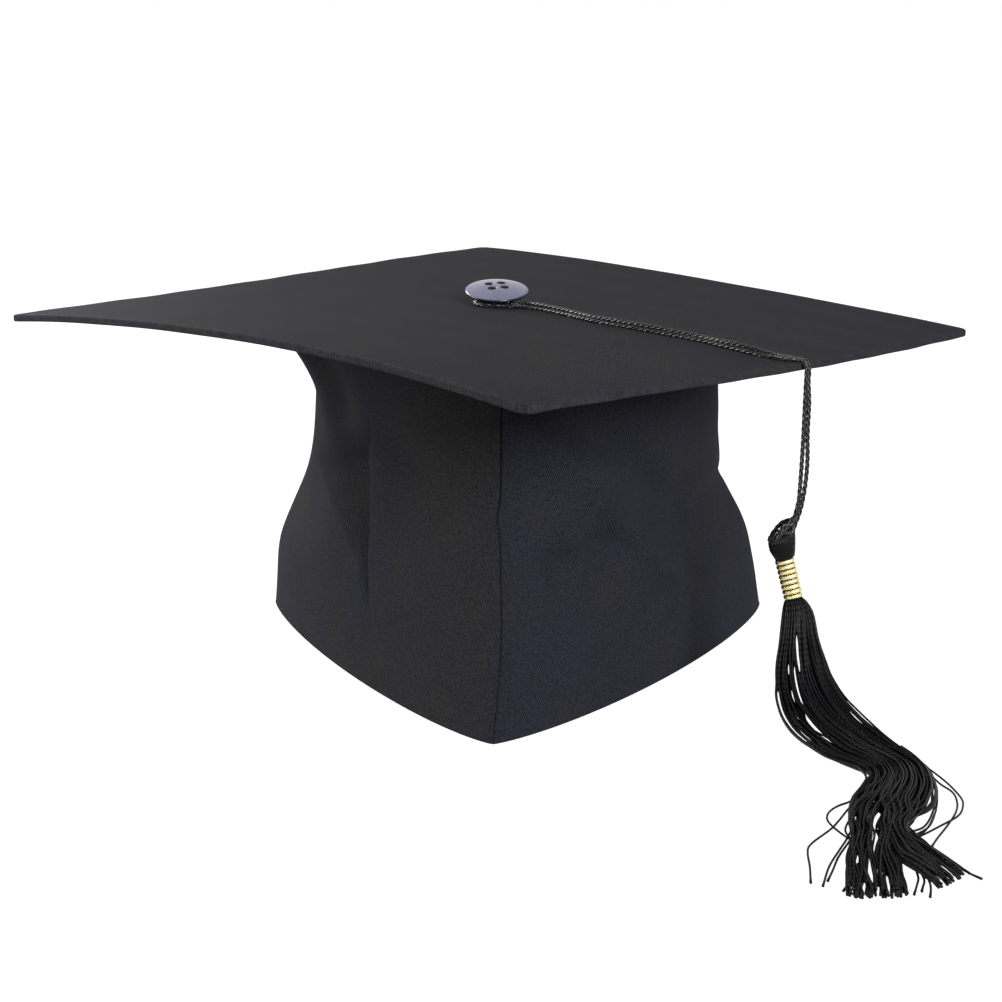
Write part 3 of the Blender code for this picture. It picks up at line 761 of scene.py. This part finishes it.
def panel_turns(start, end, count=320):
    """Turns across a panel, closer at its seams and round its pleat."""
    turn = np.linspace(start, end, 4000)
    to_seam = np.minimum(turn - start, end - turn)
    closeness = 1 + 1.2 * np.exp(-(to_seam / 0.02) ** 2)
    closeness = closeness + 3.2 * np.exp(-((turn + 0.232) / 0.03) ** 2)
    return np.interp(np.linspace(0, 1, count), np.cumsum(closeness) / np.sum(closeness), turn)


def cap_panels(right_cloth, left_cloth):
    heights = np.linspace(0, 1, 110)
    for side, turns, cloth in (("right", panel_turns(0.0, 1.0), right_cloth),
                               ("left", panel_turns(-1.0, 0.0), left_cloth)):
        obj = strip(f"{side}_panel_cloth", turns, heights, 0.0, PANEL, cloth,
                    1 if side == "right" else -1)
        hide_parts(f"cap_panel_{side}")
        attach(obj, "cap")


def band_strips(lining, ribbed):
    """The sweatband, the rear elastic and the tapes over the seams inside."""
    depth = PANEL + 3 * FIT
    strips = (
        ("sweatband_lining", "sweatband", (-0.70, 0.70), (0.012, 0.23), 0.0008, lining,
         "black_lining", 140, 14),
        ("rear_elastic_band", "rear_elastic", (0.73, 1.27), (0.012, 0.18), 0.0009, ribbed,
         "elastic", 90, 14),
        ("front_tape", "front_seam_tape", (-0.07, 0.07), (0.26, 0.96), 0.0004, lining,
         "black_lining", 20, 50),
        ("back_tape", "back_seam_tape", (0.94, 1.06), (0.22, 0.96), 0.0004, lining,
         "black_lining", 20, 50),
    )
    for name, node, turns, heights, thick, made_of, slot, columns, rows in strips:
        obj = strip(name, np.linspace(*turns, columns), np.linspace(*heights, rows),
                    depth, thick, made_of)
        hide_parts(node)
        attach(obj, "cap")


# ---- cord ----


def edge_crossing():
    """Where the cord crosses the front right edge: the edge point and its directions."""
    outward = unit((1, -1, 0))
    edgeways = unit((1, 1, 0))
    reach = BOARD_SIDE / 2 / math.cos(CORD_BEARING + math.radians(45))
    x, y = reach * math.cos(CORD_BEARING), reach * math.sin(CORD_BEARING)
    return np.array((x, y, board_top(x, y))), outward, edgeways


CORD_ROUTE = (  # reach along the bearing and step to its left, for the pair of legs
    (0.0165, 0.0006), (0.0290, -0.0012), (0.0380, -0.0032), (0.0467, -0.0047), (0.0605, -0.0048),
    (0.0737, -0.0040), (0.0858, -0.0036), (0.0960, -0.0050), (0.1057, -0.0060),
    (0.1130, -0.0046),
)
SHANK_LOOP = ((0.0065, -0.0085), (0.0000, -0.0097), (-0.0060, -0.0075), (-0.0078, -0.0015),
              (-0.0045, 0.0038), (0.0015, 0.0042), (0.0070, -0.0020))
HANG = (  # middle of the hanging pair (x, z) and half the legs' spacing
    (0.0908, 0.0985, 0.00067), (0.0909, 0.0885, 0.00068), (0.0911, 0.0807, 0.00090),
    (0.0910, 0.0743, 0.00088), (0.0906, 0.0680, 0.00068), (0.0898, 0.0637, 0.00064),
    (0.0889, 0.0607, 0.00060), (0.0883, 0.0582, 0.00055),
)
HANG_Y = -0.0819


def on_board(x, y, lift):
    return np.array((x, y, board_top(x, y) + lift))


def leg_stops(sign):
    """One leg from the shank's loop to the tassel; sign is 1 for the back leg.

    On the board the back leg rides on the front one, less so at the last stop.
    """
    edge, outward, edgeways = edge_crossing()
    run = np.array((math.cos(CORD_BEARING), math.sin(CORD_BEARING)))
    side = np.array((-run[1], run[0]))
    stops = []
    lift = COVER * 0.2 + CORD / 2
    for k, (reach, step) in enumerate(CORD_ROUTE):
        stack = math.radians(58 + 14 * math.sin(1.9 * k))
        if k == len(CORD_ROUTE) - 1:
            stack *= 0.45
        middle = run * reach + side * step
        spread = LEG_SPACING / 2 * math.cos(stack)
        rise = LEG_SPACING * math.sin(stack) if sign > 0 else 0.0
        place = middle + side * sign * spread
        stops.append(on_board(*place, lift + rise))
    over = edge + edgeways * sign * LEG_SPACING / 2 - outward * (EDGE_BEND - CORD_OVERHANG)
    over += UP * (lift - EDGE_BEND)
    for turn in np.radians((90, 67, 45, 22, 0)):
        stops.append(over + EDGE_BEND * (outward * math.cos(turn) + UP * math.sin(turn)))
    stops.append(over + outward * EDGE_BEND - UP * 0.004)
    for x, z, apart in HANG:
        stops.append(np.array((x + apart * sign, HANG_Y + 0.0002 * sign, z)))
    return stops


def cord_line():
    """The whole doubled cord, from the tassel round the button's shank and back."""
    lift = COVER * 0.2 + CORD / 2
    loop = [on_board(x, y, lift) for x, y in SHANK_LOOP]
    return smooth_path(leg_stops(-1)[::-1] + loop + leg_stops(1), 0.00055)


def doubled_cord(yarn):
    """Two pieces, front leg and back leg, that meet behind the shank with their plies in line."""
    line = cord_line()
    normal, third = frames(line)
    phase = -2 * np.pi * run_of(line) / LAY
    behind = np.array(SHANK_LOOP[3])
    cut = int(np.argmin(np.linalg.norm(line[:, :2] - behind, axis=1)))
    pieces = []
    for name, part in (("cord_front_leg", slice(0, cut + 1)), ("cord_back_leg", slice(cut, None))):
        shape = Shape()
        add_plies(shape, line[part], normal[part], third[part], phase[part])
        obj = shape.piece(name, yarn)
        path = line[part]
        if name == "cord_front_leg":
            path = path[::-1]
        pieces.append((obj, path))
    for obj, path in pieces:
        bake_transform(obj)
    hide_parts("cord_on_board", "cord_bend_b", "cord_hanging_b")
    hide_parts("cord_on_board", "cord_bend_a", "cord_hanging_a")
    return pieces


# ---- button ----


def button_profile():
    """(radius, height) from the middle of the dome, over the rim, to the middle below."""
    rim = 0.00055
    flat = BUTTON_R - rim
    dome = [(r, BUTTON_DOME * (1 - (r / BUTTON_R) ** 2)) for r in np.linspace(0.00001, flat, 26)]
    round_rim = [(flat + rim * math.sin(a), BUTTON_DOME * 0.09 - rim + rim * math.cos(a))
                 for a in np.radians((25, 50, 75, 100, 125, 150))]
    below = [(flat, -BUTTON_EDGE), (flat * 0.93, -BUTTON_EDGE), (0.00001, -BUTTON_EDGE)]
    return dome + round_rim + below


def turned_object(name, profile, made_of, sides):
    """A lathe shape from (radius, z) pairs."""
    angle = np.linspace(0, 2 * np.pi, sides, endpoint=False)
    profile = np.array(profile)
    points = np.stack([profile[:, :1] * np.cos(angle), profile[:, :1] * np.sin(angle),
                       np.repeat(profile[:, 1:], sides, 1)], -1)
    faces = grid_faces(len(profile), sides, wrap_columns=True)[:, ::-1]
    shape = Shape()
    shape.add(points, faces, points[..., :2])
    return shape.piece(name, made_of)


def hole_profile():
    """A cutter for one hole, flared where it meets the dome."""
    top = BUTTON_DOME * 0.93
    flare = [(HOLE_R + 0.00045 * (1 - math.cos(a)), top - 0.00045 * (1 - math.sin(a)))
             for a in np.radians((0, 22, 45, 68, 90))]
    return [(0.00001, 0.004), (flare[-1][0] + 0.002, 0.004), *flare[::-1], (HOLE_R, -0.004),
            (0.00001, -0.004)]


def button(plastic):
    """A domed four-hole button, tilted forwards on its shank."""
    obj = turned_object("four_hole_button", button_profile(), plastic, 128)
    for x in (-1, 1):
        for y in (-1, 1):
            hole = turned_object("hole_cutter", hole_profile(), plastic, 40)
            hole.location = (x * HOLE_PITCH / 2, y * HOLE_PITCH / 2, 0)
            cut = obj.modifiers.new("hole", "BOOLEAN")
            cut.object = hole
    graph = bpy.context.evaluated_depsgraph_get()
    cut_mesh = bpy.data.meshes.new_from_object(obj.evaluated_get(graph))
    obj.modifiers.clear()
    obj.data = cut_mesh
    cut_mesh.shade_smooth()
    cut_mesh.set_sharp_from_angle(angle=math.radians(38))
    for cutter in [o for o in bpy.data.objects if o.name.startswith("hole_cutter")]:
        bpy.data.objects.remove(cutter, do_unlink=True)
    obj.location = (0, 0, BOARD_HEIGHT + BUTTON_RISE)
    obj.rotation_euler = (BUTTON_TILT, 0, 0)
    obj.rotation_euler.rotate_axis("Z", BUTTON_SPIN)
    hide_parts("button")
    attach(obj, "button")


# ---- tassel ----


def tassel_axis():
    axis = unit(WRAP_BOTTOM - WRAP_TOP)
    across = unit(np.cross(axis, (0, 1, 0)))
    return axis, across, np.cross(axis, across)


def gold_wrap(gilt):
    """Turns of flat gilt thread, each a rounded band."""
    axis, across, third = tassel_axis()
    length = np.linalg.norm(WRAP_BOTTOM - WRAP_TOP)
    steps, sides = 48, 12
    count = WRAP_TURNS * steps + 1
    turns = np.linspace(0, WRAP_TURNS, count)
    turn = 2 * np.pi * turns
    pitch = (length - WRAP_WIRE) / (WRAP_TURNS - 1)
    # each turn lies level in front and steps down to the next behind
    whole = np.floor(turns - 1e-9)
    down = WRAP_WIRE / 2 + pitch * np.maximum(whole - 1 + smoothstep(turns - whole, 0.0, 0.5), 0)
    out = across * np.cos(turn)[:, None] - third * np.sin(turn)[:, None]
    middle = WRAP_TOP + axis * down[:, None] + out * WRAP_R
    section = np.linspace(0, 2 * np.pi, sides, endpoint=False)
    tall, deep = WRAP_WIRE * 0.50, WRAP_WIRE * 0.36
    ends = smoothstep(np.arange(count), 0, 4) * smoothstep(count - 1 - np.arange(count), 0, 4)
    ends = (0.35 + 0.65 * ends)[:, None, None]
    points = middle[:, None] + ends * (out[:, None] * np.cos(section)[None, :, None] * deep
                                       - axis * np.sin(section)[None, :, None] * tall)
    uvs = np.empty((count, sides, 2))
    uvs[..., 0] = (turn * WRAP_R)[:, None]
    uvs[..., 1] = section * WRAP_WIRE / 2
    shape = Shape()
    shape.add(points, grid_faces(count, sides, wrap_columns=True), uvs)
    caps = np.stack([np.arange(sides)[::-1], (count - 1) * sides + np.arange(sides)])
    shape.faces.append(caps)
    obj = shape.piece("gilt_wrap", gilt)
    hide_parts("gold_wrap")
    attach(obj, "tassel")
    return obj


SKIRT = (  # edges of the ribbon of strands (left x, y, right x, y), its height and half depth
    (0.0874, -0.0843, 0.0918, -0.0843, 0.0372, 0.0022),
    (0.0864, -0.0850, 0.0934, -0.0850, 0.0358, 0.0028),
    (0.0855, -0.0868, 0.0954, -0.0866, 0.0322, 0.0033),
    (0.0841, -0.0904, 0.0966, -0.0905, 0.0252, 0.0036),
    (0.0825, -0.0941, 0.0981, -0.0945, 0.0200, 0.0036),
    (0.0816, -0.0976, 0.0996, -0.0980, 0.0158, 0.0034),
    (0.0811, -0.1024, 0.1023, -0.1024, 0.0111, 0.0031),
    (0.0815, -0.1082, 0.1056, -0.1069, 0.0078, 0.0028),
    (0.0834, -0.1146, 0.1086, -0.1118, 0.0056, 0.0026),
    (0.0866, -0.1214, 0.1111, -0.1176, 0.0044, 0.0025),
    (0.0900, -0.1278, 0.1136, -0.1233, 0.0037, 0.0024),
    (0.0940, -0.1313, 0.1157, -0.1287, 0.0033, 0.0024),
    (0.0978, -0.1355, 0.1177, -0.1352, 0.0031, 0.0023),
    (0.0981, -0.1405, 0.1168, -0.1444, 0.0030, 0.0023),
    (0.0950, -0.1457, 0.1151, -0.1510, 0.0029, 0.0022),
    (0.0910, -0.1515, 0.1109, -0.1588, 0.0028, 0.0021),
)
LEFT_ENDS = (
    (0.0887, -0.1571, 0.1038, -0.1640, 0.0028, 0.0020),
    (0.0869, -0.1647, 0.0986, -0.1699, 0.0028, 0.0020),
    (0.0862, -0.1714, 0.0962, -0.1750, 0.0027, 0.0019),
    (0.0834, -0.1784, 0.0940, -0.1813, 0.0025, 0.0017),
    (0.0807, -0.1869, 0.0928, -0.1874, 0.0021, 0.0014),
    (0.0789, -0.1940, 0.0915, -0.1945, 0.0017, 0.0010),
    (0.0772, -0.2008, 0.0902, -0.2010, 0.0013, 0.0007),
)
RIGHT_ENDS = (
    (0.0943, -0.1623, 0.1060, -0.1634, 0.0028, 0.0020),
    (0.0940, -0.1697, 0.1012, -0.1680, 0.0027, 0.0018),
    (0.0938, -0.1769, 0.1003, -0.1726, 0.0026, 0.0016),
    (0.0941, -0.1832, 0.1027, -0.1772, 0.0024, 0.0014),
    (0.0964, -0.1870, 0.1048, -0.1824, 0.0021, 0.0012),
    (0.0989, -0.1924, 0.1068, -0.1886, 0.0017, 0.0009),
    (0.1009, -0.1983, 0.1078, -0.1928, 0.0013, 0.0007),
)
GAPS = (  # where the strands part: first and last row, place across, half width in metres
    (2.4, 5.2, -0.11, 0.00062), (3.8, 6.9, -0.30, 0.00062), (3.8, 5.3, -0.50, 0.00052),
    (5.2, 6.6, -0.50, 0.00050), (6.2, 7.6, -0.62, 0.00052), (6.4, 9.0, -0.40, 0.00090),
    (6.2, 7.2, -0.03, 0.00052), (5.3, 6.4, -0.06, 0.00048), (5.2, 9.2, -0.93, 0.00070),
    (7.2, 9.3, -0.80, 0.00055), (9.0, 10.3, -0.62, 0.00050), (9.4, 10.8, -0.24, 0.00050),
    (6.6, 8.4, 0.80, 0.00055), (11.8, 13.6, -0.90, 0.00070), (12.4, 13.7, -0.52, 0.00055),
    (12.8, 14.0, -0.10, 0.00060), (13.2, 14.4, -0.76, 0.00060), (13.8, 15.0, -0.58, 0.00060),
    (14.0, 15.0, 0.86, 0.00060), (14.2, 15.6, -0.84, 0.00065), (14.4, 15.6, -0.34, 0.00055),
    (15.2, 16.6, 0.42, 0.00065), (14.8, 16.2, 0.72, 0.00055), (16.2, 17.6, -0.75, 0.00065),
    (19.0, 20.4, -0.70, 0.00060), (19.4, 20.8, -0.20, 0.00050), (20.0, 22.0, 0.45, 0.00060),
    (20.4, 22.0, -0.50, 0.00060), (20.8, 22.0, 0.05, 0.00055),
)
STRAYS = (  # strands that leave the skirt and lie loose
    ((0.0985, -0.1405), (0.0965, -0.1431), (0.0918, -0.1489), (0.0874, -0.1517), (0.0841, -0.1550),
     (0.0825, -0.1589), (0.0828, -0.1628), (0.0849, -0.1688), (0.0872, -0.1716)),
    ((0.0950, -0.1480), (0.0892, -0.1552), (0.0825, -0.1639), (0.0748, -0.1721), (0.0728, -0.1767),
     (0.0716, -0.1836), (0.0699, -0.1912)),
    ((0.0885, -0.1640), (0.0849, -0.1704), (0.0807, -0.1765), (0.0764, -0.1838), (0.0725, -0.1928)),
    ((0.0888, -0.1655), (0.0850, -0.1720), (0.0804, -0.1785), (0.0770, -0.1853), (0.0743, -0.1905)),
    ((0.0830, -0.1860), (0.0798, -0.1916), (0.0768, -0.1953)),
    ((0.1150, -0.1190), (0.1178, -0.1229), (0.1197, -0.1296), (0.1220, -0.1393), (0.1227, -0.1484),
     (0.1214, -0.1536), (0.1182, -0.1587), (0.1115, -0.1640), (0.1060, -0.1681), (0.1002, -0.1721)),
    ((0.1142, -0.1200), (0.1170, -0.1236), (0.1186, -0.1296), (0.1197, -0.1392), (0.1215, -0.1448),
     (0.1208, -0.1507), (0.1185, -0.1564), (0.1138, -0.1635), (0.1087, -0.1703), (0.1052, -0.1754)),
    ((0.0990, -0.1600), (0.1020, -0.1641), (0.1042, -0.1712), (0.1052, -0.1770), (0.1076, -0.1826),
     (0.1102, -0.1877), (0.1127, -0.1911)),
    ((0.0960, -0.1620), (0.1010, -0.1668), (0.1046, -0.1730), (0.1072, -0.1790), (0.1094, -0.1850),
     (0.1106, -0.1885)),
    ((0.1120, -0.1590), (0.1076, -0.1660), (0.1024, -0.1708), (0.0985, -0.1755)),
    ((0.1162, -0.1465), (0.1122, -0.1565), (0.1067, -0.1646), (0.0992, -0.1683), (0.0963, -0.1734)),
    ((0.1161, -0.1479), (0.1135, -0.1551), (0.1086, -0.1640), (0.1023, -0.1691), (0.0975, -0.1715)),
    ((0.1112, -0.1521), (0.1066, -0.1598), (0.1018, -0.1644), (0.0979, -0.1683)),
    ((0.0956, -0.1798), (0.0972, -0.1848), (0.0972, -0.1896), (0.0955, -0.1937), (0.0936, -0.1976)),
    ((0.0969, -0.1798), (0.0980, -0.1860), (0.0983, -0.1908), (0.0971, -0.1937), (0.0959, -0.1963)),
    ((0.0973, -0.1805), (0.0991, -0.1867), (0.0992, -0.1921), (0.0984, -0.1955), (0.0971, -0.1989)),
    ((0.0945, -0.1475), (0.0930, -0.1543), (0.0903, -0.1625), (0.0874, -0.1705)),
    ((0.0955, -0.1470), (0.0900, -0.1555), (0.0872, -0.1651), (0.0886, -0.1718)),
    ((0.0965, -0.1480), (0.0905, -0.1570), (0.0865, -0.1631), (0.0855, -0.1677), (0.0873, -0.1731)),
)


def skirt_tracks():
    """The ribbon's rows, evenly spaced: left edge, right edge, height, half depth and row."""
    tracks = {}
    for name, ends in (("left", LEFT_ENDS), ("right", RIGHT_ENDS)):
        rows = np.array(SKIRT + ends)
        middle = np.column_stack([(rows[:, :2] + rows[:, 2:4]) / 2, rows[:, 4]])
        half = (rows[:, 2:4] - rows[:, :2]) / 2
        stops = np.column_stack([middle, half, rows[:, 5], np.arange(len(rows))])
        tracks[name] = smooth_path(stops, 0.0016)
    return tracks


def part_at_gaps(offset, half, row, shift):
    """Moves a strand's offset across the ribbon, in metres, out of the gaps.

    Strands lie at several depths; shift is how far a strand's depth moves it across the ribbon
    as seen from the front, so that the gaps go right through.
    """
    seen = offset + shift
    for first, last, across, wide in GAPS:
        open_ = smoothstep(row, first, first + 0.7) * (1 - smoothstep(row, last - 0.7, last))
        off = seen - across * half
        inside = open_ > 0.02
        if not inside.any():
            continue
        side = 1.0 if np.mean(off[inside]) >= 0 else -1.0
        clear = np.maximum(side * off, 0.0)
        moved = across * half + side * np.sqrt(clear**2 + wide**2)
        near = np.exp(-((off / 0.0030) ** 2))
        seen = seen + open_ * near * (moved - seen)
    return seen - shift


def wave(rng, row, size, slowest, spread):
    """A wave along a strand, with a pace and a start of its own."""
    return size * np.sin(row * (slowest + spread * rng.random()) + 6.28 * rng.random())


def skirt_strands(rng):
    """Centrelines and radii of the strands that hang and lie together."""
    strands, count, locks = [], SKIRT_STRANDS, SKIRT_LOCKS
    tracks = skirt_tracks()
    lock_across = np.linspace(-0.90, 0.90, locks) + rng.normal(0, 0.03, locks)
    for k in range(count):
        angle = k * math.pi * (3 - math.sqrt(5))
        reach = math.sqrt((k + 0.5) / count)
        across, deep = reach * math.cos(angle), reach * math.sin(angle)
        lock = int(np.argmin(np.abs(lock_across - across + rng.normal(0, 0.04))))
        right = -0.35 < across - rng.normal(0, 0.12) < 0.62
        right = right and rng.random() < 0.62
        track = tracks["right" if right else "left"]
        middle, half, depth, row = track[:, :3], track[:, 3:5], track[:, 5], track[:, 6]
        width = np.linalg.norm(half, axis=1)
        parted = smoothstep(row, 14.5, 18.0)
        own = (across - 0.13) / 0.55 if right else across + 0.12 * np.sign(across)
        own = np.clip(own + rng.normal(0, 0.16), -1.0, 1.0)
        sway = wave(rng, row, 0.030, 0.25, 0.3) + wave(rng, row, 0.014, 0.9, 0.5)
        locked = 0.35 * smoothstep(row, 2.5, 6.0)
        a = across + (lock_across[lock] - across) * locked + sway * smoothstep(row, 1.0, 5.0)
        a = a * (1 - parted) + own * parted
        loose = smoothstep(row, 15.5, 19.0)
        a = a + loose * wave(rng, row, 0.15, 0.8, 0.9)
        d = deep + wave(rng, row, 0.15, 0.3, 0.4)
        aside = np.column_stack([half / width[:, None], np.zeros(len(row))])
        flow = unit(np.gradient(middle, axis=0))
        up = unit(np.cross(aside, flow))
        up = np.where(up[:, 2:] < 0, -up, up)
        square = np.cross(flow, middle - np.array(CAMERA_PLACE))
        slip = np.sum(up * square, 1) / np.sum(aside * square, 1)
        offset = part_at_gaps(a * width, width, row, slip * d * depth)
        line = middle + aside * offset[:, None] + up * (d * depth)[:, None]
        radius = STRAND_R * (0.60 + 0.40 * smoothstep(row, 0.0, 2.0)) * (0.94 + 0.12 * rng.random())
        line[:, 2] = np.maximum(line[:, 2], radius * 1.02)
        last = int(len(line) * (0.955 + 0.045 * rng.random() ** 0.7))
        strands.append((line[:last], thick_end(radius[:last])))
    return strands


def thick_end(radius):
    """A cut end is a little thicker, where the yarn opens."""
    radius = radius.copy()
    radius[-1] *= 1.30
    radius[-2] *= 1.15
    return radius


def stray_strands():
    strands = []
    for stops in STRAYS:
        heights = np.full(len(stops), STRAND_R * 1.05)
        heights[:2] = (0.0024, 0.0012)  # each starts inside the skirt
        path = [(x, y, z) for (x, y), z in zip(stops, heights)]
        line = smooth_path(path, 0.0014)
        line[:, 2] = np.maximum(line[:, 2], STRAND_R * 1.02)
        strands.append((line, thick_end(np.full(len(line), STRAND_R))))
    return strands


def skirt(yarn):
    rng = np.random.default_rng(SKIRT_SEED)
    shape = Shape()
    for line, radius in skirt_strands(rng) + stray_strands():
        add_tube(shape, line, radius, 5)
    obj = shape.piece("tassel_skirt", yarn)
    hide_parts("skirt_main", "skirt_right_lock")
    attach(obj, "tassel")


HEAD_RINGS = (  # x, y, z, half width, half depth and sideways slope, from the neck to the top
    (0.0893, -0.0842, 0.0376, 0.0020, 0.0020, 0.20), (0.0865, -0.0822, 0.0487, 0.0024, 0.0024, 0.20),
    (0.0862, -0.0821, 0.0501, 0.0030, 0.0029, 0.06), (0.0857, -0.0820, 0.0520, 0.0036, 0.0034, 0.10),
    (0.0854, -0.0819, 0.0546, 0.0038, 0.0035, 0.25), (0.0853, -0.0818, 0.0566, 0.0037, 0.0030, 0.40),
    (0.0853, -0.0818, 0.0578, 0.0035, 0.0021, 0.48), (0.0854, -0.0818, 0.0581, 0.0032, 0.0011, 0.46),
)


def head_points(across, levels, side, shrink):
    """Points up one side of the head at a place across it (-1 to 1)."""
    place = np.asarray(levels) * (len(HEAD_RINGS) - 1)
    x, y, z, wide, deep, slope = (
        np.interp(place, np.arange(len(HEAD_RINGS)), column) for column in zip(*HEAD_RINGS))
    aside = across * wide * shrink
    out = math.sqrt(max(1 - across**2, 0.0)) * deep * shrink
    drop = (1 - shrink) * 0.004
    return np.stack([x + aside, y - side * out, z + aside * slope - drop], 1)


def tassel_head(yarn):
    """Strands doubled over the hitch: up the front, over the top and down the back."""
    shape = Shape()
    loops = 24
    levels = np.linspace(0, 1, len(HEAD_RINGS))
    for layer, shrink in enumerate((1.0, 0.84, 0.66)):
        for k in range(loops):
            across = math.sin(math.pi * ((k + 0.5 + 0.3 * layer) / loops - 0.5))
            across += 0.012 * math.sin(7.0 * k + layer)
            across = max(-0.998, min(0.998, across))
            front = head_points(across, levels, 1, shrink)
            back = head_points(across, levels[::-1], -1, shrink)
            line = smooth_path(np.concatenate([front, back]), 0.0008)
            add_tube(shape, line, STRAND_R * 1.10, 6)
    obj = shape.piece("tassel_head_strands", yarn)
    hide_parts("tassel_head")
    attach(obj, "tassel")
    return obj


HITCH_TURN = (  # the doubled cord's turn over the head's shoulder and behind it
    (0.0889, -0.0829, 0.0618), (0.0881, -0.0833, 0.0624), (0.0873, -0.0835, 0.0619),
    (0.0863, -0.0838, 0.0607), (0.0847, -0.0843, 0.0594), (0.0832, -0.0846, 0.0581),
    (0.0821, -0.0845, 0.0568), (0.0815, -0.0834, 0.0556), (0.0817, -0.0812, 0.0552),
    (0.0826, -0.0796, 0.0559), (0.0838, -0.0790, 0.0575), (0.0850, -0.0794, 0.0593),
    (0.0863, -0.0803, 0.0607), (0.0876, -0.0812, 0.0613),
)
HITCH_SECOND = (
    (0.0876, -0.0840, 0.0611), (0.0864, -0.0845, 0.0602), (0.0849, -0.0850, 0.0589),
    (0.0836, -0.0854, 0.0575), (0.0826, -0.0854, 0.0562), (0.0821, -0.0846, 0.0550),
    (0.0821, -0.0824, 0.0545),
)
HITCH_BIGHT = (
    (0.0885, -0.0828, 0.0615), (0.0874, -0.0837, 0.0609), (0.0863, -0.0842, 0.0608),
    (0.0851, -0.0844, 0.0603), (0.0847, -0.0845, 0.0594), (0.0852, -0.0848, 0.0586),
    (0.0863, -0.0849, 0.0583), (0.0874, -0.0846, 0.0586), (0.0879, -0.0839, 0.0596),
    (0.0883, -0.0830, 0.0607),
)
HITCH_CORD = CORD * 1.05


def hitch(yarn):
    """The hitch that ties the tassel to the cord: two turns side by side and a bight."""
    shape = Shape()
    for stops in (HITCH_TURN, HITCH_SECOND, HITCH_BIGHT):
        line = smooth_path(stops, 0.00045)
        normal, third = frames(line)
        add_plies(shape, line, normal, third, -2 * np.pi * run_of(line) / LAY, HITCH_CORD)
    obj = shape.piece("hitch_cord", yarn)
    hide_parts("hitch_knot")
    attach(obj, "tassel")
    return obj


# ---- nodes kept from the CAD model ----


def dress_node(node, made_of):
    obj = frame["nodes"][node]
    obj.data.materials.clear()
    obj.data.materials.append(made_of)


# ---- stage ----


def studio():
    scene = bpy.context.scene
    scene.view_settings.view_transform = "Standard"
    world = bpy.data.worlds.new("studio")
    world.use_nodes = True
    world.node_tree.nodes["Background"].inputs[0].default_value = (1.0, 1.0, 1.0, 1.0)
    strength = matt_or_white(world.node_tree, WORLD_LIGHT)
    world.node_tree.links.new(strength, world.node_tree.nodes["Background"].inputs[1])
    scene.world = world
    floor = bpy.data.meshes.new("floor")
    floor.from_pydata([(-6, -6, 0), (6, -6, 0), (6, 6, 0), (-6, 6, 0)], [], [(0, 1, 2, 3)])
    floor.materials.append(pale_floor())
    ground = bpy.data.objects.new("floor", floor)
    scene.collection.objects.link(ground)
    lights = (  # name, place, aim, size, power
        ("back_softbox", (-0.60, 0.60, 0.50), (0, 0, 0.12), 0.5, 11.0),
        ("left_softbox", (-0.75, 0.00, 0.35), (-0.05, 0, 0.06), 0.4, 6.2),
        ("front_fill", (0.55, -1.20, 0.70), (0, 0, 0.05), 0.5, 27.0),
    )
    for name, place, aim, size, power in lights:
        data = bpy.data.lights.new(name, "AREA")
        data.size = size
        data.energy = power
        lamp = bpy.data.objects.new(name, data)
        lamp.location = place
        towards = np.array(aim) - np.array(place)
        lamp.rotation_euler = (
            math.atan2(np.hypot(towards[0], towards[1]), -towards[2]), 0.0,
            math.atan2(-towards[0], towards[1]))
        lamp.visible_camera = False
        scene.collection.objects.link(lamp)


def main():
    add_camera()
    # of a cloth: its ribs, the painted shade between them and the tint of its bluer patches
    shades = ((0.0305, 0.0305, 0.0311), (0.0050, 0.0050, 0.0051), (0.88, 0.88, 1.22))
    # the board's twill is the same cloth, painted about a fifth darker: painted shade to tone down
    # the light on the board's top
    board_shades = ((0.0255, 0.0255, 0.0262), (0.0034, 0.0034, 0.0036), (0.90, 0.90, 1.20))
    cloth = twill_cloth("black_twill", *shades)
    bluer_cloth = twill_cloth("black_twill_right", *shades, bluer=0.80)
    board_cloth = twill_cloth("black_twill_board", *board_shades, edge=BOARD_SIDE / 2)
    lining = lining_cloth()
    ribbed = elastic_band()
    plastic = button_plastic()
    cord_yarn = thread("cord_yarn", (0.010, 0.010, 0.011), (0.002, 0.002, 0.002), 0.0012,
                       0.00007, 0.28, 0.38)
    tassel_yarn = thread("tassel_yarn", (0.0030, 0.0030, 0.0040), (0.0012, 0.0012, 0.0017), 0.0018,
                         0.00005, 0.36, 0.12)
    gilt = gold_thread()

    legs = doubled_cord(cord_yarn)
    on_tassel = [hitch(cord_yarn), tassel_head(tassel_yarn), gold_wrap(gilt)]
    skirt(tassel_yarn)
    top_cover(board_cloth)
    under_cover(cloth)
    cap_panels(bluer_cloth, cloth)
    band_strips(lining, ribbed)
    button(plastic)
    dress_node("board_core", paperboard())
    dress_node("crown_top", lining)
    dress_node("anchor_button", plastic)
    dress_node("button_shank_thread", cord_yarn)
    studio()


main()
